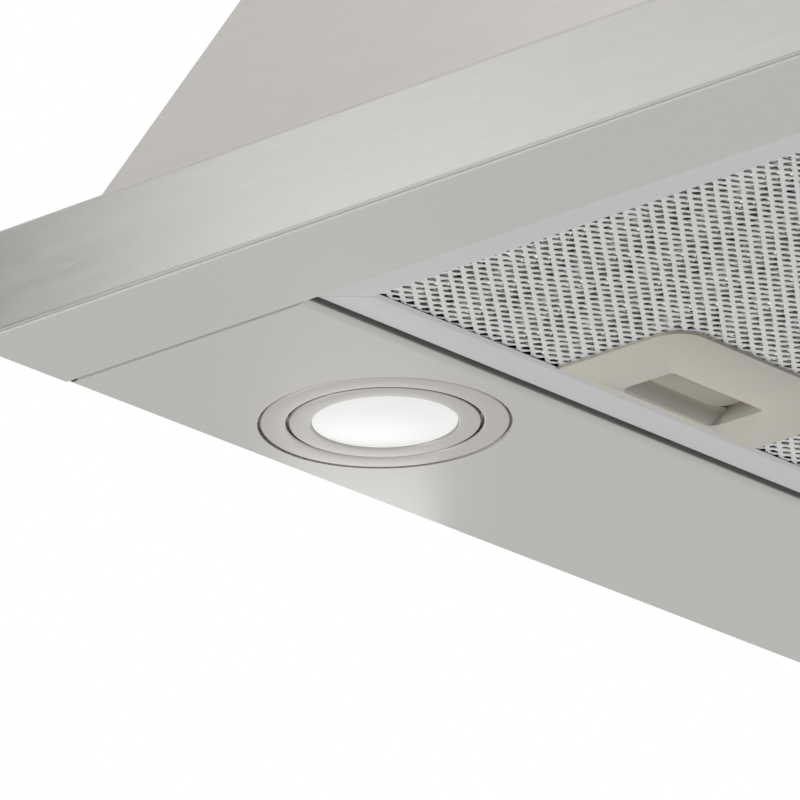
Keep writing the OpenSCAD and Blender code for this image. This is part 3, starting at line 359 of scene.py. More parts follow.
def moulded_plastic(colour, roughness=0.5, recess_shade=None, heights=()):
    """Moulded plastic with a fine spark-eroded grain, and a painted shade in its hollow that comes
    in between the first two of four heights and goes out between the others."""
    finish = Finish()
    tooth = finish.cells(0.0005)
    flow = finish.cloud(0.015, detail=2, distortion=0.4)
    dark, light = shades(colour, 0.035)
    tone = finish.mix(dark, light, flow * 0.7 + 0.3 * tooth)
    if recess_shade:
        height = finish.axis("Z")
        depth = finish.ramp(height, *heights[:2]) * finish.fade(height, *heights[2:])
        # Painted shade that deepens into the recess
        tone = finish.mix(tone, recess_shade, depth)
    finish.shade(
        Base_Color=tone,
        Roughness=roughness + 0.1 * (tooth - 0.5) + 0.06 * (flow - 0.5),
        Normal=finish.bump(tooth, 0.12, 0.0001),
    )
    return finish.material


def painted_metal(colour, roughness=0.4, **constants):
    """Enamelled metal with a slight orange peel."""
    finish = Finish(**constants)
    peel = finish.cloud(0.0016, detail=1)
    patch = finish.cloud(0.03, detail=3)
    dark, light = shades(colour, 0.08)
    finish.shade(
        Base_Color=finish.mix(dark, light, patch),
        Roughness=roughness + 0.12 * (patch - 0.5),
        Normal=finish.bump(peel, 0.08, 0.0002),
    )
    return finish.material


# Where the lamp's rings change: widths and heights, in metres, and the painted groove shadow's
# colour
RIM_WALL = 0.0003
BEZEL_WALL = (-0.0002, 0.0001)
BEZEL_HEIGHT = (0.0001, 0.0004)
GROOVE_HEIGHT = (0.0006, 0.0009)
GROOVE_PAINTED_SHADOW = (0.03, 0.027, 0.02)
WALL_DULL = 0.7
RINGS_A_METRE = 2600.0


def turned_metal(colour, roughness, centre, axes, rim=None):
    """Metal turned on a lathe, in rings about each lamp or rod. Where the colour of a rim and
    the radii of two walls are given, the walls are dull, and the outer one carries a painted
    warm reflection near the face and a painted groove shadow deeper in."""
    finish = Finish(metallic=1.0)
    root = finish.radius(centre, axes)
    rings = finish.add(
        "ShaderNodeTexNoise", {"noise_dimensions": "1D"},
        {"W": root * RINGS_A_METRE, "Scale": 1.0, "Detail": 3.0}, "Fac",
    )
    patch = finish.cloud(0.01, detail=1)
    dark, light = shades(colour, 0.08)
    tone = finish.mix(dark, light, rings * 0.7 + patch * 0.3)
    if rim:
        painted_warm_reflection, outer, inner = rim
        height = finish.axis("Z")
        wall = finish.ramp(root, outer - RIM_WALL, outer)
        dull = finish.zone(root, *(inner + step for step in BEZEL_WALL))
        dull = dull * finish.ramp(height, *BEZEL_HEIGHT)
        # Painted warm reflection on the outer wall, and a painted shadow deeper in its groove
        tone = finish.mix(tone, painted_warm_reflection, wall)
        tone = finish.mix(tone, GROOVE_PAINTED_SHADOW, wall * finish.ramp(height, *GROOVE_HEIGHT))
        finish.shade(Metallic=1.0 - WALL_DULL * (wall + dull))
    finish.shade(
        Base_Color=tone,
        Roughness=roughness + 0.12 * (rings - 0.5),
        Normal=finish.bump(rings, 0.08, 0.0001),
    )
    return finish.material


def lit_opal(colour, centre, radius, core=0.645, edge=0.64):
    """Opal lens with its light on, a little less bright at the rim than in the middle."""
    finish = Finish(Roughness=0.35, Emission_Strength=1.0)
    rim = finish.ramp(finish.radius(centre, "XY"), radius * 0.3, radius * 1.02)
    grain = finish.cloud(0.0012, detail=2)
    glow = finish.mix([c * core for c in colour], [c * edge for c in colour], rim)
    finish.shade(
        Base_Color=finish.mix([0.10, 0.10, 0.095], [0.14, 0.14, 0.13], grain),
        Emission_Color=glow,
        Normal=finish.bump(grain, 0.1, 0.0002),
    )
    return finish.material


# Shapes


def new_piece(name, shape):
    """A linked object of a shape."""
    mesh = bpy.data.meshes.new(name)
    shape.to_mesh(mesh)
    shape.free()
    piece = bpy.data.objects.new(name, mesh)
    bpy.context.scene.collection.objects.link(piece)
    return piece


def keep_piece(name, shape, nodes, material, sharp=32):
    """Makes a shape drawn in millimetres a piece that stands for CAD nodes on their body."""
    bmesh.ops.transform(shape, matrix=Matrix.Scale(MM, 4), verts=shape.verts)
    piece = new_piece(name, shape)
    piece.data.shade_smooth()
    piece.data.set_sharp_from_angle(angle=math.radians(sharp))
    piece.data.materials.append(material)
    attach(piece, frame["nodes"][nodes[0]]["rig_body"])
    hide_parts(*nodes)
    return piece


def rounded(shape, edges, width, segments, clamp=False):
    """Rounds edges, and where asked keeps the roundings from running into each other."""
    bmesh.ops.bevel(
        shape, geom=edges, offset=width, offset_type="OFFSET", affect="EDGES", segments=segments,
        profile=0.5, material=-1, clamp_overlap=clamp,
    )


def soften(shape, width, segments=2, angle=35):
    """Rounds every edge sharper than an angle."""
    edges = [
        e for e in shape.edges
        if e.is_manifold and e.calc_face_angle(0.0) > math.radians(angle)
    ]
    rounded(shape, edges, width, segments, clamp=True)


def copied(node):
    """A merged copy of a CAD node's mesh, in millimetres, with its flat faces joined."""
    shape = bmesh.new()
    shape.from_mesh(frame["nodes"][node].data)
    bmesh.ops.transform(shape, matrix=Matrix.Scale(1 / MM, 4), verts=shape.verts)
    bmesh.ops.remove_doubles(shape, verts=shape.verts, dist=0.002)
    bmesh.ops.dissolve_limit(
        shape, angle_limit=math.radians(0.5), verts=shape.verts, edges=shape.edges
    )
    return shape


def cut(shape, place, normal, clear=True):
    """Cuts a shape by a plane and clears what lies beyond it."""
    bmesh.ops.bisect_plane(
        shape, geom=shape.verts[:] + shape.edges[:] + shape.faces[:], dist=1e-5, plane_co=place,
        plane_no=normal, clear_outer=clear,
    )


def turned(profile, steps=96):
    """A closed profile of (radius, height) points spun about Z."""
    shape = bmesh.new()
    ring = [shape.verts.new((r, 0, z)) for r, z in profile]
    edges = [shape.edges.new((a, b)) for a, b in zip(ring, ring[1:] + ring[:1])]
    bmesh.ops.spin(
        shape, geom=ring + edges, cent=(0, 0, 0), axis=(0, 0, 1), angle=math.tau, steps=steps,
        use_merge=True,
    )
    bmesh.ops.remove_doubles(shape, verts=shape.verts, dist=0.0005)
    bmesh.ops.dissolve_degenerate(shape, dist=0.0005, edges=shape.edges)
    bmesh.ops.recalc_face_normals(shape, faces=shape.faces)
    return shape


def moved(shape, place=(0, 0, 0), turn=None):
    """Turns and then moves a whole shape."""
    if turn:
        bmesh.ops.rotate(shape, cent=(0, 0, 0), matrix=turn, verts=shape.verts)
    bmesh.ops.translate(shape, vec=place, verts=shape.verts)
    return shape


# The expanded sheets: shares of a length, then how far, how finely and by which seed they wander
GRID_SPARE = 1.15
SLANT_SHIFT = 0.6
HOLE_CORNER = 0.45
HOLE_WIDENING = 0.15
STRAND_WANDER = 0.2
WANDER_SCALE = 0.55
WANDER_STEP = 3
WANDER_SEED = 7


def expanded_sheet(sizes, strand, low, high, z, notch, shift=0.0, turn=0.0):
    """A sheet of expanded metal, trimmed to a rectangle and a notch: slightly uneven strands
    that cross at two slants, round holes that are narrow at one end and wide at the other."""
    shape = bmesh.new()
    first, second = (
        Vector((math.cos(slant + turn), math.sin(slant + turn), 0))
        for slant in (sizes.slant_long, sizes.slant_short)
    )
    pitch = (sizes.pitch_long / MM, sizes.pitch_short / MM)
    reach = GRID_SPARE * (Vector(high) - Vector(low)).length
    counts = [2 * int(reach / p / 2) + 2 for p in pitch]
    centre = (Vector(low) + Vector(high)) / 2 + Vector((shift, shift * SLANT_SHIFT, z))
    bmesh.ops.create_grid(
        shape, x_segments=counts[0], y_segments=counts[1], size=0.5,
        matrix=Matrix.Diagonal((pitch[0] * counts[0], pitch[1] * counts[1], 1, 1)),
    )
    holes = shape.faces[:]
    bmesh.ops.inset_individual(
        shape, faces=holes, thickness=strand / MM / 2, use_even_offset=True
    )
    bmesh.ops.delete(shape, geom=holes, context="FACES_ONLY")
    for v in shape.verts:
        along, across = v.co.x, v.co.y
        cell = [value / step % 1 - 0.5 for value, step in zip((along, across), pitch)]
        if max(map(abs, cell)) < HOLE_CORNER:
            along -= cell[0] * pitch[0] * (sizes.taper if cell[1] > 0 else -HOLE_WIDENING)
        rise = math.sin(math.tau * across / pitch[1]) - math.sin(math.tau * along / pitch[0])
        v.co = centre + first * along + second * across
        v.co.z += sizes.tilt / MM * rise
    margin = max(pitch)
    far = [
        v for v in shape.verts
        if not all(low[i] - margin < v.co[i] < high[i] + margin for i in (0, 1))
    ]
    bmesh.ops.delete(shape, geom=far, context="VERTS")
    noise.seed_set(WANDER_SEED)
    for v in shape.verts:
        place = v.co * WANDER_SCALE + Vector((0, 0, z * WANDER_STEP))
        v.co += STRAND_WANDER * noise.noise_vector(place)
    for corner, sign in ((low, -1), (high, 1)):
        cut(shape, (corner[0], 0, 0), (sign, 0, 0))
        cut(shape, (0, corner[1], 0), (0, sign, 0))
    for place, normal in notch:
        cut(shape, place, normal, clear=False)
    inside = [
        f for f in shape.faces
        if all((f.calc_center_median() - place).dot(normal) < 0 for place, normal in notch)
    ]
    bmesh.ops.delete(shape, geom=inside, context="FACES")
    return shape


def join(shapes):
    """One shape out of several."""
    whole = bmesh.new()
    for shape in shapes:
        mesh = bpy.data.meshes.new("part")
        shape.to_mesh(mesh)
        shape.free()
        whole.from_mesh(mesh)
        bpy.data.meshes.remove(mesh)
    return whole


def latch_notch(side, lap=1.0, corner=9.0):
    """Planes round the space that the latch takes out of the mesh, a lap inside its edge."""
    low, high = box_mm("latch_housing_" + side)
    chamfer = corner * (2 - math.sqrt(2))
    x0, x1, y1 = low.x + lap, high.x - lap, high.y - lap
    slant = 1 / math.sqrt(2)
    return [
        (Vector((x0, y1, 0)), Vector((-1, 0, 0))),
        (Vector((x1, y1, 0)), Vector((1, 0, 0))),
        (Vector((x0, y1, 0)), Vector((0, 1, 0))),
        (Vector((x0 + chamfer, y1, 0)), Vector((-slant, slant, 0))),
        (Vector((x1 - chamfer, y1, 0)), Vector((slant, slant, 0))),
    ]


def channel_bar(length, sizes, low_z, high_z, windows=(), short=2, near=0.1):
    """A mitred bar folded from sheet along X: a top flange that ends short of the bar's width,
    an outer wall with windows near its plane, a face and a sloping lip."""
    shape = bmesh.new()
    sheet, face, lip = sizes.sheet / MM, sizes.bar / MM, sizes.lip / MM
    path = [
        (face - short, high_z), (0, high_z), (0, low_z), (face - lip, low_z), (face, low_z + lip),
    ]
    line = [shape.verts.new((-length / 2, y, z)) for y, z in path]
    edges = [shape.edges.new(pair) for pair in zip(line, line[1:])]
    grown = bmesh.ops.extrude_edge_only(shape, edges=edges)["geom"]
    bmesh.ops.translate(
        shape, vec=(length, 0, 0), verts=[g for g in grown if isinstance(g, bmesh.types.BMVert)]
    )
    bmesh.ops.recalc_face_normals(shape, faces=shape.faces)
    for inner, rounding in ((False, sizes.fold), (True, sizes.crease)):
        folds = [
            e for e in shape.edges
            if len(e.link_faces) == 2 and (e.verts[0].co.y > face / 2) == inner
        ]
        rounded(shape, folds, rounding / MM, 4)
    for x0, x1, z0, z1 in windows:
        for x in (x0, x1):
            cut(shape, (x, 0, 0), (1, 0, 0), clear=False)
        for z in (z0, z1):
            cut(shape, (0, 0, z), (0, 0, 1), clear=False)
        hole = [
            f for f in shape.faces
            if x0 < f.calc_center_median().x < x1 and z0 < f.calc_center_median().z < z1
            and f.calc_center_median().y < near
        ]
        bmesh.ops.delete(shape, geom=hole, context="FACES")
    outward = sum(f.normal.y * f.calc_area() for f in shape.faces if abs(f.normal.y) > 0.9)
    if outward > 0:
        bmesh.ops.reverse_faces(shape, faces=shape.faces)
    bmesh.ops.solidify(shape, geom=shape.faces[:], thickness=sheet)
    gap = sizes.mitre / MM / 2
    for sign in (-1, 1):
        cut(shape, (sign * (length / 2 - gap), 0, 0), (sign, 1, 0))
    rims = [e for e in shape.edges if e.is_boundary]
    bmesh.ops.holes_fill(shape, edges=rims, sides=0)
    bmesh.ops.recalc_face_normals(shape, faces=shape.faces)
    return shape


def helix_tube(radius, wire, length, turns, steps=18, sides=8):
    """A round wire wound about Y."""
    shape = bmesh.new()
    made = bmesh.ops.create_circle(shape, segments=sides, radius=wire, cap_ends=False)
    bmesh.ops.translate(shape, vec=(radius, 0, 0), verts=made["verts"])
    bmesh.ops.spin(
        shape, geom=shape.verts[:] + shape.edges[:], cent=(0, 0, 0), axis=(0, 1, 0),
        dvec=(0, length / (turns * steps), 0), angle=math.tau * turns, steps=turns * steps,
    )
    bmesh.ops.holes_fill(shape, edges=[e for e in shape.edges if e.is_boundary], sides=0)
    bmesh.ops.recalc_face_normals(shape, faces=shape.faces)
    return shape


# Settings


def tint(name, description, default):
    """A colour that the user may change."""
    return bpy.props.FloatVectorProperty(
        name=name, description=description, default=default, subtype="COLOR", min=0, max=1
    )


def metres(name, description, default):
    """A length in metres that the user may change."""
    return bpy.props.FloatProperty(
        name=name, description=description, default=default, unit="LENGTH", precision=4
    )


def amount(name, description, default):
    """A level or power that the user may change."""
    return bpy.props.FloatProperty(name=name, description=description, default=default, min=0)


def degrees(name, description, default):
    """An angle that the user may change."""
    return bpy.props.FloatProperty(
        name=name, description=description, default=math.radians(default), unit="ROTATION"
    )


class HoodFinishes(bpy.types.PropertyGroup):
    """Colours of the finishes"""

    band: tint("Band steel", "Brushed steel of the band", (0.435, 0.428, 0.407))
    canopy: tint("Canopy steel", "Satin steel over the band", (0.49, 0.475, 0.452))
    inner: tint("Inner steel", "Galvanised plates", (0.55, 0.56, 0.57))
    aluminium: tint("Filter frame", "Satin aluminium", (0.472, 0.473, 0.474))
    mesh: tint("Filter mesh", "Expanded aluminium", (0.55, 0.55, 0.535))
    pad: tint("Filter layers", "Inner layers of the filter", (0.95, 0.95, 0.92))
    latch: tint("Latch plate", "Beige plastic of the latch", (0.39, 0.374, 0.32))
    # Colour of the painted shade deep in the finger recess
    recess_shade: tint("Latch recess", "Deep end of the finger recess", (0.2, 0.165, 0.1))
    slide: tint("Latch slide", "Grey plastic of the tongue", (0.222, 0.21, 0.165))
    lamp: tint("Lamp rings", "Turned metal of the lamps", (0.405, 0.391, 0.371))
    # A painted warm reflection on the trim ring's outer wall
    painted_rim_reflection: tint("Lamp rim", "Warm outer wall of the trim ring", (0.42, 0.34, 0.24))
    lens: tint("Lens", "Opal lens with its light on", (1.0, 1.0, 0.99))
    black: tint("Black plastic", "Collar, gland and switches", (0.03, 0.03, 0.032))
    white: tint("White plastic", "Boxes", (0.72, 0.72, 0.69))
    button: tint("Buttons", "Turned metal of the buttons", (0.56, 0.55, 0.53))
    motor: tint("Motor", "Enamelled motor housing", (0.10, 0.105, 0.115))


class FilterSizes(bpy.types.PropertyGroup):
    """Sizes of the two mesh filters"""

    pitch_long: metres("Strand spacing, long", "Along the first strands", 0.00377)
    pitch_short: metres("Strand spacing, short", "Along the second strands", 0.00376)
    strand: metres("Strand width", "Width of a strand", 0.00145)
    tilt: metres("Strand tilt", "Rise of a strand's edges", 0.00015)
    thick: metres("Sheet thickness", "Thickness of the mesh", 0.0002)
    sheet: metres("Frame sheet", "Thickness of the frame's sheet", 0.0008)
    bar: metres("Bar width", "Visible width of the frame", 0.012)
    lip: metres("Lip", "Width and height of the sloping inner lip", 0.00095)
    fold: metres("Fold radius", "Rounding of the outer folds", 0.0006)
    crease: metres("Crease", "Rounding of the lip's fold", 0.00015)
    behind: metres("Mesh seat", "Height of the mesh over the lip", 0.0004)
    mitre: metres("Mitre gap", "Fine gap at the corners", 0.00012)
    slant_long: degrees("First slant", "Direction of the first strands", 35.8)
    slant_short: degrees("Second slant", "Direction of the second strands", -33.0)
    taper: bpy.props.FloatProperty(
        name="Hole taper", description="How much narrower a hole is at one end", default=0.55,
        min=0, max=0.9,
    )
    layers: bpy.props.IntProperty(
        name="Inner layers", description="Sheets inside a filter", default=4, min=1, max=4
    )
    layer_turn: degrees("Layer turn", "Turn of the first inner sheet", 11)
    layer_strand: metres("Inner strand width", "Width of an inner strand", 0.00115)
    layer_growth: metres("Strand growth", "Wider strands in each deeper sheet", 0.0003)
    layer_gap: metres("First layer", "From the outer sheet to the first inner one", 0.0003)
    layer_step: metres("Layer step", "From one inner sheet to the next", 0.0003)
    layer_edge: metres("Layer margin", "How far the inner sheets stop short", 0.0035)
    bolt_gap: metres("Bolt spacing", "Between the middles of the latch bolts", 0.018)
    bolt_width: metres("Bolt window", "Width of a bolt's window", 0.009)
    bolt_height: metres("Bolt window height", "Height of a bolt's window", 0.0028)


class LatchSizes(bpy.types.PropertyGroup):
    """Sizes of the two latches"""

    round_plate: metres("Plate rounding", "Radius of the plate's edges", 0.00035)
    round_mouth: metres("Recess rounding", "Radius of the recess's front edge", 0.0012)
    round_slide: metres("Slide rounding", "Radius of the slide's edges", 0.00025)
    mouth: metres("Recess place", "From the plate's edge to the recess", 0.0021)
    wire: metres("Spring wire", "Radius of the spring's wire", 0.0003)
    travel: metres("Travel", "How far the slide moves", 0.006)
    turns: bpy.props.IntProperty(
        name="Spring turns", description="Turns of the spring", default=8, min=3, max=20
    )


class LampSizes(bpy.types.PropertyGroup):
    """Sizes of the two lamps"""

    lap: metres("Trim lap", "Width of the trim's flange over the panel", 0.004)
    seat: metres("Seat", "Width of the bezel's and the lens's flange", 0.0022)
    gap: metres("Groove", "Gap between the trim and the bezel", 0.0008)
    sheet: metres("Panel", "Thickness of the panel's sheet", 0.001)
    round_trim: metres("Trim rounding", "Radius of the trim's edges", 0.0007)
    round_bezel: metres("Bezel rounding", "Radius of the bezel's edges", 0.0005)


class ButtonSizes(bpy.types.PropertyGroup):
    """Sizes of the five push buttons"""

    rim: metres("Rim", "How far the hidden flange stands out", 0.0016)
    neck: metres("Neck", "Length in front of the flange", 0.0066)
    flange: metres("Flange", "Thickness of the flange", 0.0015)
    stem: metres("Stem", "Radius of the stem", 0.0018)
    dish: metres("Dish", "Depth of the dished face", 0.00035)


class StudioSettings(bpy.types.PropertyGroup):
    """Light and floor"""

    floor_drop: metres("Floor", "Height of the hood over the floor", 1.55)
    sky: amount("Fill light", "Level of the white surroundings", 0.48)
    glow: amount("Floor glow", "White of the floor in the picture", 0.6)
    key: amount("Key light", "Watts of the lamp in front and below", 40.0)
    side: amount("Side light", "Watts of the tall soft lamp at the side", 1.7)
    top: amount("Top light", "Watts of the soft lamp over the canopy", 1.0)
    glint: amount("Glint", "Watts of the small lamp reflected beside the lens", 0.0042)


FINISH = {}


# Operators

# Heights over the latch plate's face between which its recess's painted shade comes and goes, in
# metres
RECESS = (0.001, 0.006, 0.0073, 0.0075)


class HOOD_OT_finishes(bpy.types.Operator):
    """Makes the finishes and gives them to the CAD nodes"""

    bl_idname = "hood.finishes"
    bl_label = "Finishes"

    def execute(self, context):
        colours, lamps = context.scene.hood_finishes, context.scene.hood_lamps
        lamp = middle(*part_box("lamp_lens_right"))[:2]
        lens_r, trim_r, bezel_r = (
            (high.x - low.x) / 2
            for low, high in (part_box(f"lamp_{piece}_right") for piece in ("lens", "trim", "bezel"))
        )
        rim = (colours.painted_rim_reflection, trim_r - lamps.lap, bezel_r - lamps.seat)
        band = {"hole": (lamp, trim_r - lamps.lap + lamps.gap)}
        latch_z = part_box("latch_housing_right")[0].z
        recess = {"recess_shade": colours.recess_shade, "heights": [latch_z + height for height in RECESS]}
        axle = middle(*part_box("motor_shaft"))[1:]
        FINISH.update({
            "band_front": brushed_metal(colours.band, "X", 0.36, **band),
            "band_side": brushed_metal(colours.band, "Y", 0.36, streak=0.009, **band),
            "canopy_steel": brushed_metal(colours.canopy, "XY", 0.38, spread=0.06),
            "chimney_steel": brushed_metal(colours.canopy, "Z", 0.36),
            "inner_steel": galvanised_metal(colours.inner),
            "blower_steel": galvanised_metal(colours.inner, 0.4),
            "frame_aluminium": satin_aluminium(colours.aluminium),
            "mesh_aluminium": mesh_metal(colours.mesh),
            "pad_aluminium": mesh_metal(colours.pad, 0.4, 0.3),
            "latch_plastic": moulded_plastic(colours.latch, **recess),
            "slide_plastic": moulded_plastic(colours.slide, 0.45),
            "spring_steel": satin_aluminium((0.5, 0.5, 0.52), 0.3),
            "lamp_metal": turned_metal(colours.lamp, 0.34, lamp, "XY", rim),
            "lamp_lens": lit_opal(colours.lens, lamp, lens_r),
            "lamp_housing": painted_metal((0.05, 0.05, 0.052), 0.5, metallic=0.4),
            "black_plastic": moulded_plastic(colours.black),
            "button_metal": brushed_metal(colours.button, "X", 0.3, width=0.0002),
            "white_plastic": moulded_plastic(colours.white, 0.45),
            "impeller_metal": painted_metal((0.2, 0.205, 0.22), metallic=0.7),
            "motor_metal": painted_metal(colours.motor, 0.35),
            "shaft_steel": turned_metal((0.55, 0.55, 0.56), 0.25, axle, "YZ"),
            "wire_guard": painted_metal((0.06, 0.06, 0.064), 0.35),
            "screw_steel": satin_aluminium((0.56, 0.56, 0.57), 0.3),
        })
        for name, material in FINISH.items():
            material.name = name
        special = {
            "front_skirt": "band_front", "rear_panel": "band_front",
            "side_skirt_left": "band_side", "side_skirt_right": "band_side",
            "chimney_lower": "chimney_steel", "chimney_upper": "chimney_steel",
        }
        for node, piece in frame["nodes"].items():
            material = FINISH[special.get(node, SLOTS[node])]
            for slot in piece.material_slots:
                slot.material = material
        return {"FINISHED"}


class HOOD_OT_filter_frames(bpy.types.Operator):
    """Folds the mitred frames of the two filters"""

    bl_idname = "hood.filter_frames"
    bl_label = "Filter Frames"

    def execute(self, context):
        sizes = context.scene.hood_filters
        half = sizes.bolt_width / MM / 2
        clear = 0.5
        for side in SIDES:
            low, high = box_mm("filter_frame_" + side)
            top = box_mm("latch_slide_" + side)[1].z + clear
            bolts = [
                (x - half, x + half, top - sizes.bolt_height / MM, top)
                for x in (-sizes.bolt_gap / MM / 2, sizes.bolt_gap / MM / 2)
            ]
            width, length = high.x - low.x, high.y - low.y
            bars = []
            for quarter in range(4):
                span, depth = (length, width) if quarter % 2 else (width, length)
                bar = channel_bar(span, sizes, low.z, high.z, () if quarter else bolts)
                moved(bar, (0, -depth / 2, 0))
                moved(bar, (*middle(low, high)[:2], 0),
                      Matrix.Rotation(math.radians(90 * quarter), 3, "Z"))
                bars.append(bar)
            keep_piece("filter_channel_" + side, join(bars), ["filter_frame_" + side],
                       FINISH["frame_aluminium"])
        return {"FINISHED"}


# The sheets in a filter, in millimetres: how far they run under the bars, how far the first
# inner one is shifted and each deeper one more, and how its height swells
TUCK = 1.5
LAYER_SHIFT = 1.4
LAYER_SHIFT_STEP = 0.8
LAYER_SWELL = 0.12
SWELL_SCALE = 0.09
SWELL_STEP = 7.3


class HOOD_OT_filter_meshes(bpy.types.Operator):
    """Stretches the expanded sheets of the two filters and the layers inside them"""

    bl_idname = "hood.filter_meshes"
    bl_label = "Filter Meshes"

    def execute(self, context):
        sizes = context.scene.hood_filters
        bar = sizes.bar / MM - TUCK
        for side in SIDES:
            low, high = box_mm("filter_frame_" + side)
            inner_low = (low.x + bar, low.y + bar, 0)
            inner_high = (high.x - bar, high.y - bar, 0)
            notch = latch_notch(side)
            mesh_z = low.z + (sizes.lip + sizes.behind) / MM
            outer = expanded_sheet(sizes, sizes.strand, inner_low, inner_high, mesh_z, notch)
            bmesh.ops.solidify(outer, geom=outer.faces[:], thickness=-sizes.thick / MM)
            bmesh.ops.recalc_face_normals(outer, faces=outer.faces)
            upper_z = high.z - (sizes.sheet + sizes.thick * 2) / MM
            upper = expanded_sheet(sizes, sizes.strand, inner_low, inner_high, upper_z, notch)
            keep_piece("expanded_mesh_" + side, join([outer, upper]), ["filter_mesh_" + side],
                       FINISH["mesh_aluminium"])
            layers = []
            edge = sizes.layer_edge / MM
            layer_low = (inner_low[0] + edge, inner_low[1] + edge, 0)
            layer_high = (inner_high[0] - edge, inner_high[1] - edge, 0)
            for level in range(sizes.layers):
                layer = expanded_sheet(
                    sizes, sizes.layer_strand + sizes.layer_growth * level, layer_low, layer_high,
                    mesh_z + (sizes.layer_gap + sizes.layer_step * level) / MM, notch,
                    LAYER_SHIFT + LAYER_SHIFT_STEP * level,
                    sizes.layer_turn * (level + 1) * (-1) ** level,
                )
                for v in layer.verts:
                    place = v.co * SWELL_SCALE + Vector((0, 0, level * SWELL_STEP))
                    v.co.z += LAYER_SWELL * noise.noise(place)
                layers.append(layer)
            keep_piece("filter_layers_" + side, join(layers), ["filter_pad_" + side],
                       FINISH["pad_aluminium"])
        return {"FINISHED"}


class HOOD_OT_latches(bpy.types.Operator):
    """Rounds the latch plates and slides and winds their springs"""

    bl_idname = "hood.latches"
    bl_label = "Filter Latches"

    def execute(self, context):
        sizes = context.scene.hood_latches
        near = 0.1
        for side in SIDES:
            plate = copied("latch_housing_" + side)
            corner = box_mm("latch_housing_" + side)[0]
            mouth = [
                e for e in plate.edges
                if all(abs(v.co.y - corner.y - sizes.mouth / MM) < near
                       and abs(v.co.z - corner.z) < near for v in e.verts)
            ]
            rounded(plate, mouth, sizes.round_mouth / MM, 4, clamp=True)
            soften(plate, sizes.round_plate / MM, 3, 25)
            keep_piece("latch_plate_" + side, plate, ["latch_housing_" + side],
                       FINISH["latch_plastic"], 40)
            slide = copied("latch_slide_" + side)
            soften(slide, sizes.round_slide / MM, 2, 25)
            keep_piece("latch_tongue_" + side, slide, ["latch_slide_" + side],
                       FINISH["slide_plastic"], 40)
            low, high = box_mm("latch_spring_" + side)
            wire = sizes.wire / MM
            coil = helix_tube(
                (high.x - low.x) / 2 - wire, wire, high.y - low.y - 2 * wire, sizes.turns
            )
            x, _, z = middle(low, high)
            moved(coil, (x, low.y + wire, z))
            spring = keep_piece("latch_coil_" + side, coil, ["latch_spring_" + side],
                                FINISH["spring_steel"], 60)
            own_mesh(spring)
        return {"FINISHED"}


class HOOD_OT_lamps(bpy.types.Operator):
    """Turns the trim rings, bezels and lenses of the two lamps"""

    bl_idname = "hood.lamps"
    bl_label = "Lamps"

    def execute(self, context):
        sizes = context.scene.hood_lamps
        lap, seat, gap, sheet = (
            value / MM for value in (sizes.lap, sizes.seat, sizes.gap, sizes.sheet)
        )
        lens_gap, lens_rounding = 0.2, 0.25
        for side in SIDES:
            low, high = box_mm("lamp_lens_" + side)
            place = (*middle(low, high)[:2], 0)
            outer, top = {}, {}
            for piece in ("trim", "bezel", "lens"):
                low, high = box_mm(f"lamp_{piece}_{side}")
                outer[piece], top[piece] = (high.x - low.x) / 2, high.z
            trim_r, bezel_r, lens_r = (
                outer[piece] - flange for piece, flange in zip(outer, (lap, seat, seat))
            )
            for name, radius, shelf, mouth, rounding in (
                ("trim", trim_r, sheet, bezel_r + gap, sizes.round_trim),
                ("bezel", bezel_r, top["trim"], lens_r + lens_gap, sizes.round_bezel),
            ):
                ring = turned([(radius, 0), (radius, shelf), (outer[name], shelf),
                               (outer[name], top[name]), (mouth, top[name]), (mouth, 0)])
                face = [
                    e for e in ring.edges
                    if e.calc_face_angle(0.0) > 1.0 and all(abs(v.co.z) < 1e-4 for v in e.verts)
                ]
                rounded(ring, face, rounding / MM, 5)
                keep_piece(f"{name}_ring_{side}", moved(ring, place), [f"lamp_{name}_{side}"],
                           FINISH["lamp_metal"])
            lens = turned([(0, low.z), (lens_r, low.z), (lens_r, top["bezel"]),
                           (outer["lens"], top["bezel"]), (outer["lens"], high.z), (0, high.z)])
            soften(lens, lens_rounding, 2)
            keep_piece("opal_lens_" + side, moved(lens, place), ["lamp_lens_" + side],
                       FINISH["lamp_lens"])
        return {"FINISHED"}


class HOOD_OT_buttons(bpy.types.Operator):
    """Turns the five push buttons with a dished face"""

    bl_idname = "hood.buttons"
    bl_label = "Buttons"

    def execute(self, context):
        sizes = context.scene.hood_buttons
        upright = Matrix.Rotation(math.radians(-90), 3, "X")
        rim, neck, flange, stem, dish = (
            value / MM for value in (sizes.rim, sizes.neck, sizes.flange, sizes.stem, sizes.dish)
        )
        for number in range(1, 6):
            node = f"button_{number}"
            low, high = box_mm(node)
            x, _, z = middle(low, high)
            depth, outer = high.y - low.y, (high.x - low.x) / 2
            face = outer - rim
            button = turned(
                [(0, dish), (face * 0.45, dish * 0.7), (face * 0.8, 0), (face, 0), (face, neck),
                 (outer, neck), (outer, neck + flange), (stem, neck + flange), (stem, depth),
                 (0, depth)], steps=64,
            )
            soften(button, 0.25, segments=3, angle=40)
            keep_piece("push_" + node, moved(button, (x, low.y, z), upright), [node],
                       FINISH["button_metal"])
        return {"FINISHED"}


# The lamps of the studio: place, the point that each faces, and size, in metres
LAMPS = {
    "key": ((0.7, -1.9, -1.1), (0.0, 0.0, 0.0), 0.9),
    "side": ((0.95, -0.6, -0.06), (0.3, -0.08, 0.015), (0.4, 0.8)),
    "top": ((0.55, -0.15, 0.8), (0.2, 0.0, 0.15), 0.6),
    "glint": ((0.0755, -0.306, -0.029), (0.1325, -0.258, 0.0), 0.045),
}


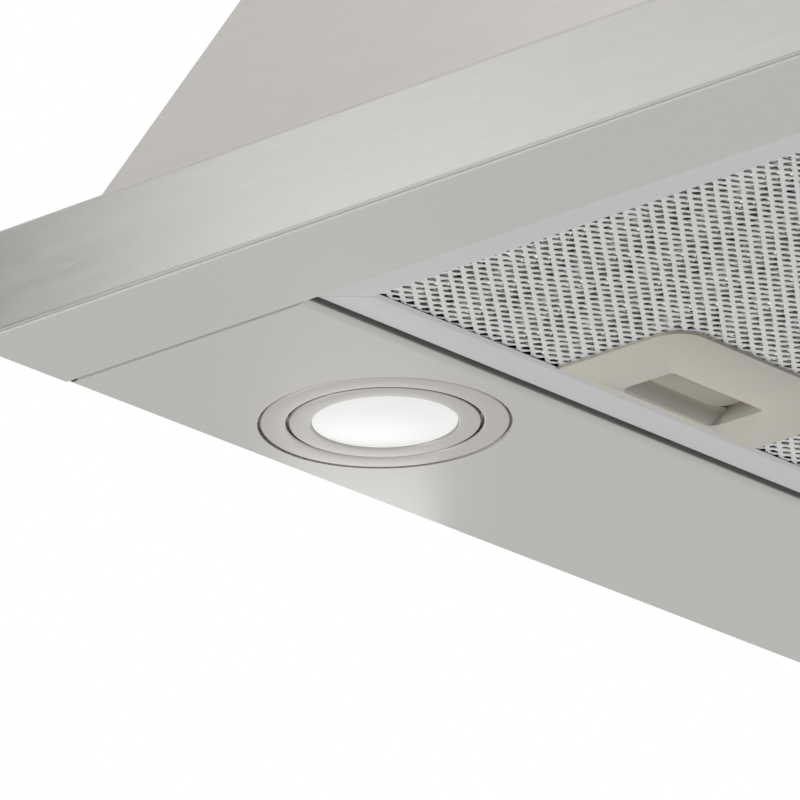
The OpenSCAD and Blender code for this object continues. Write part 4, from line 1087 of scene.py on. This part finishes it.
class HOOD_OT_studio(bpy.types.Operator):
    """Sets the camera, the pale floor and the soft light"""

    bl_idname = "hood.studio"
    bl_label = "Studio"

    def execute(self, context):
        scene = context.scene
        studio = scene.hood_studio
        scene.view_settings.view_transform = "Standard"
        self.camera(scene)
        self.floor(studio)
        self.sky(scene, studio)
        lamps = {
            name: self.lamp(name, *values, getattr(studio, name)) for name, values in LAMPS.items()
        }
        lamps["key"].visible_glossy = False
        lamps["glint"].visible_diffuse = False
        self.flag()
        return {"FINISHED"}

    def camera(self, scene):
        """The camera that matches the photograph."""
        data = bpy.data.cameras.new("photo_camera")
        data.sensor_width = 36.0
        data.lens = 404.87
        data.clip_end = 50.0
        camera = bpy.data.objects.new("photo_camera", data)
        right = Vector((-0.654735, 0.755642, -0.018066))
        up = Vector((0.260788, 0.248268, 0.932927))
        back = Vector((0.709444, 0.606109, -0.359613))
        place = Matrix((right, up, back)).transposed().to_4x4()
        place.translation = (1.9415, 1.3054, -0.8890)
        camera.matrix_world = place
        scene.collection.objects.link(camera)
        scene.camera = camera

    def floor(self, studio, reach=30.0):
        """A pale floor that is seen from above only."""
        shape = bmesh.new()
        bmesh.ops.create_circle(shape, cap_ends=True, segments=64, radius=reach)
        bmesh.ops.translate(shape, vec=(0, 0, -studio.floor_drop), verts=shape.verts)
        floor = self.stage_piece("floor", shape)
        finish = Finish("floor_paint", Roughness=0.9)
        grain = finish.cloud(0.05, detail=2)
        seen = finish.add("ShaderNodeLightPath", output="Is Camera Ray") + finish.add(
            "ShaderNodeLightPath", output="Is Glossy Ray")
        finish.shade(
            Base_Color=finish.mix((0.8, 0.8, 0.8), (0.84, 0.84, 0.84), grain),
            Emission_Color=(1, 1, 1, 1),
            Emission_Strength=seen * studio.glow,
        )
        clear = finish.add("ShaderNodeBsdfTransparent")
        behind = finish.add("ShaderNodeNewGeometry", output="Backfacing")
        shown = finish.add(
            "ShaderNodeMixShader", None,
            {0: behind, 1: Wire(finish, finish.shader.outputs[0]), 2: clear},
        )
        finish.feed(finish.tree.nodes["Material Output"].inputs["Surface"], shown)
        floor.data.materials.append(finish.material)

    def flag(self, half=0.08, place=(0.477, -0.445, 0.105), faces=(0.709, -0.606, 0.36)):
        """A pale card beside the front corner, seen in reflections only."""
        shape = bmesh.new()
        bmesh.ops.create_grid(shape, x_segments=1, y_segments=1, size=half)
        turn = Vector(faces).to_track_quat("Z", "Y").to_matrix()
        card = self.stage_piece("flag", moved(shape, place, turn))
        card.visible_camera = False
        card.visible_diffuse = False
        finish = Finish("flag_cloth", Roughness=0.9)
        weave = finish.cloud(0.002, detail=1)
        finish.shade(Base_Color=finish.mix((0.88, 0.88, 0.88), (0.92, 0.92, 0.92), weave))
        card.data.materials.append(finish.material)

    def stage_piece(self, name, shape):
        """A floor or card that isn't part of the hood."""
        piece = new_piece(name, shape)
        return piece

    def sky(self, scene, studio):
        """White surroundings: full white to the camera and in reflections, softer as light."""
        world = bpy.data.worlds.new("white_surroundings")
        nodes = Nodes(world)
        seen = nodes.add("ShaderNodeLightPath", output="Is Camera Ray")
        for name in ("Is Glossy Ray", "Is Transmission Ray"):
            seen = seen.math("MAXIMUM", seen, nodes.add("ShaderNodeLightPath", output=name))
        background = nodes.tree.nodes["Background"]
        background.inputs["Color"].default_value = (1, 1, 1, 1)
        nodes.feed(background.inputs["Strength"], nodes.ramp(seen, 0, 1, studio.sky, 1))
        scene.world = world

    def lamp(self, name, place, target, size, power):
        """A soft lamp, square or of a width and a height, that faces a point of the hood."""
        data = bpy.data.lights.new(name, "AREA")
        if isinstance(size, tuple):
            data.shape = "RECTANGLE"
            data.size, data.size_y = size
        else:
            data.size = size
        data.energy = power
        lamp = bpy.data.objects.new(name + "_lamp", data)
        lamp.location = place
        towards = Vector(target) - Vector(place)
        lamp.rotation_mode = "QUATERNION"
        lamp.rotation_quaternion = towards.to_track_quat("-Z", "Y")
        lamp.visible_camera = False
        bpy.context.scene.collection.objects.link(lamp)
        return lamp


STEPS = (
    HOOD_OT_finishes, HOOD_OT_filter_frames, HOOD_OT_filter_meshes, HOOD_OT_latches,
    HOOD_OT_lamps, HOOD_OT_buttons, HOOD_OT_studio,
)


class HOOD_PT_panel(bpy.types.Panel):
    """Lists the steps that dress the hood"""

    bl_idname = "HOOD_PT_panel"
    bl_label = "Range Hood"
    bl_space_type = "VIEW_3D"
    bl_region_type = "UI"
    bl_category = "Range Hood"

    def draw(self, context):
        for group in (getattr(context.scene, name) for name in GROUPS):
            box = self.layout.box()
            for name in group.__annotations__:
                box.prop(group, name)
        for step in STEPS:
            self.layout.operator(step.bl_idname)


GROUPS = {
    "hood_finishes": HoodFinishes, "hood_filters": FilterSizes, "hood_latches": LatchSizes,
    "hood_lamps": LampSizes, "hood_buttons": ButtonSizes, "hood_studio": StudioSettings,
}


def register():
    """Registers the classes and hangs the settings on the scene."""
    for name, group in GROUPS.items():
        bpy.utils.register_class(group)
        setattr(bpy.types.Scene, name, bpy.props.PointerProperty(type=group))
    for step in (*STEPS, HOOD_PT_panel):
        bpy.utils.register_class(step)


def unregister():
    """Takes the classes and the settings off again."""
    for step in (HOOD_PT_panel, *reversed(STEPS)):
        bpy.utils.unregister_class(step)
    for name, group in GROUPS.items():
        delattr(bpy.types.Scene, name)
        bpy.utils.unregister_class(group)


def main():
    """Dresses the hood step by step."""
    register()
    for step in STEPS:
        group, operator = step.bl_idname.split(".")
        getattr(getattr(bpy.ops, group), operator)()


if __name__ == "__main__":
    main()
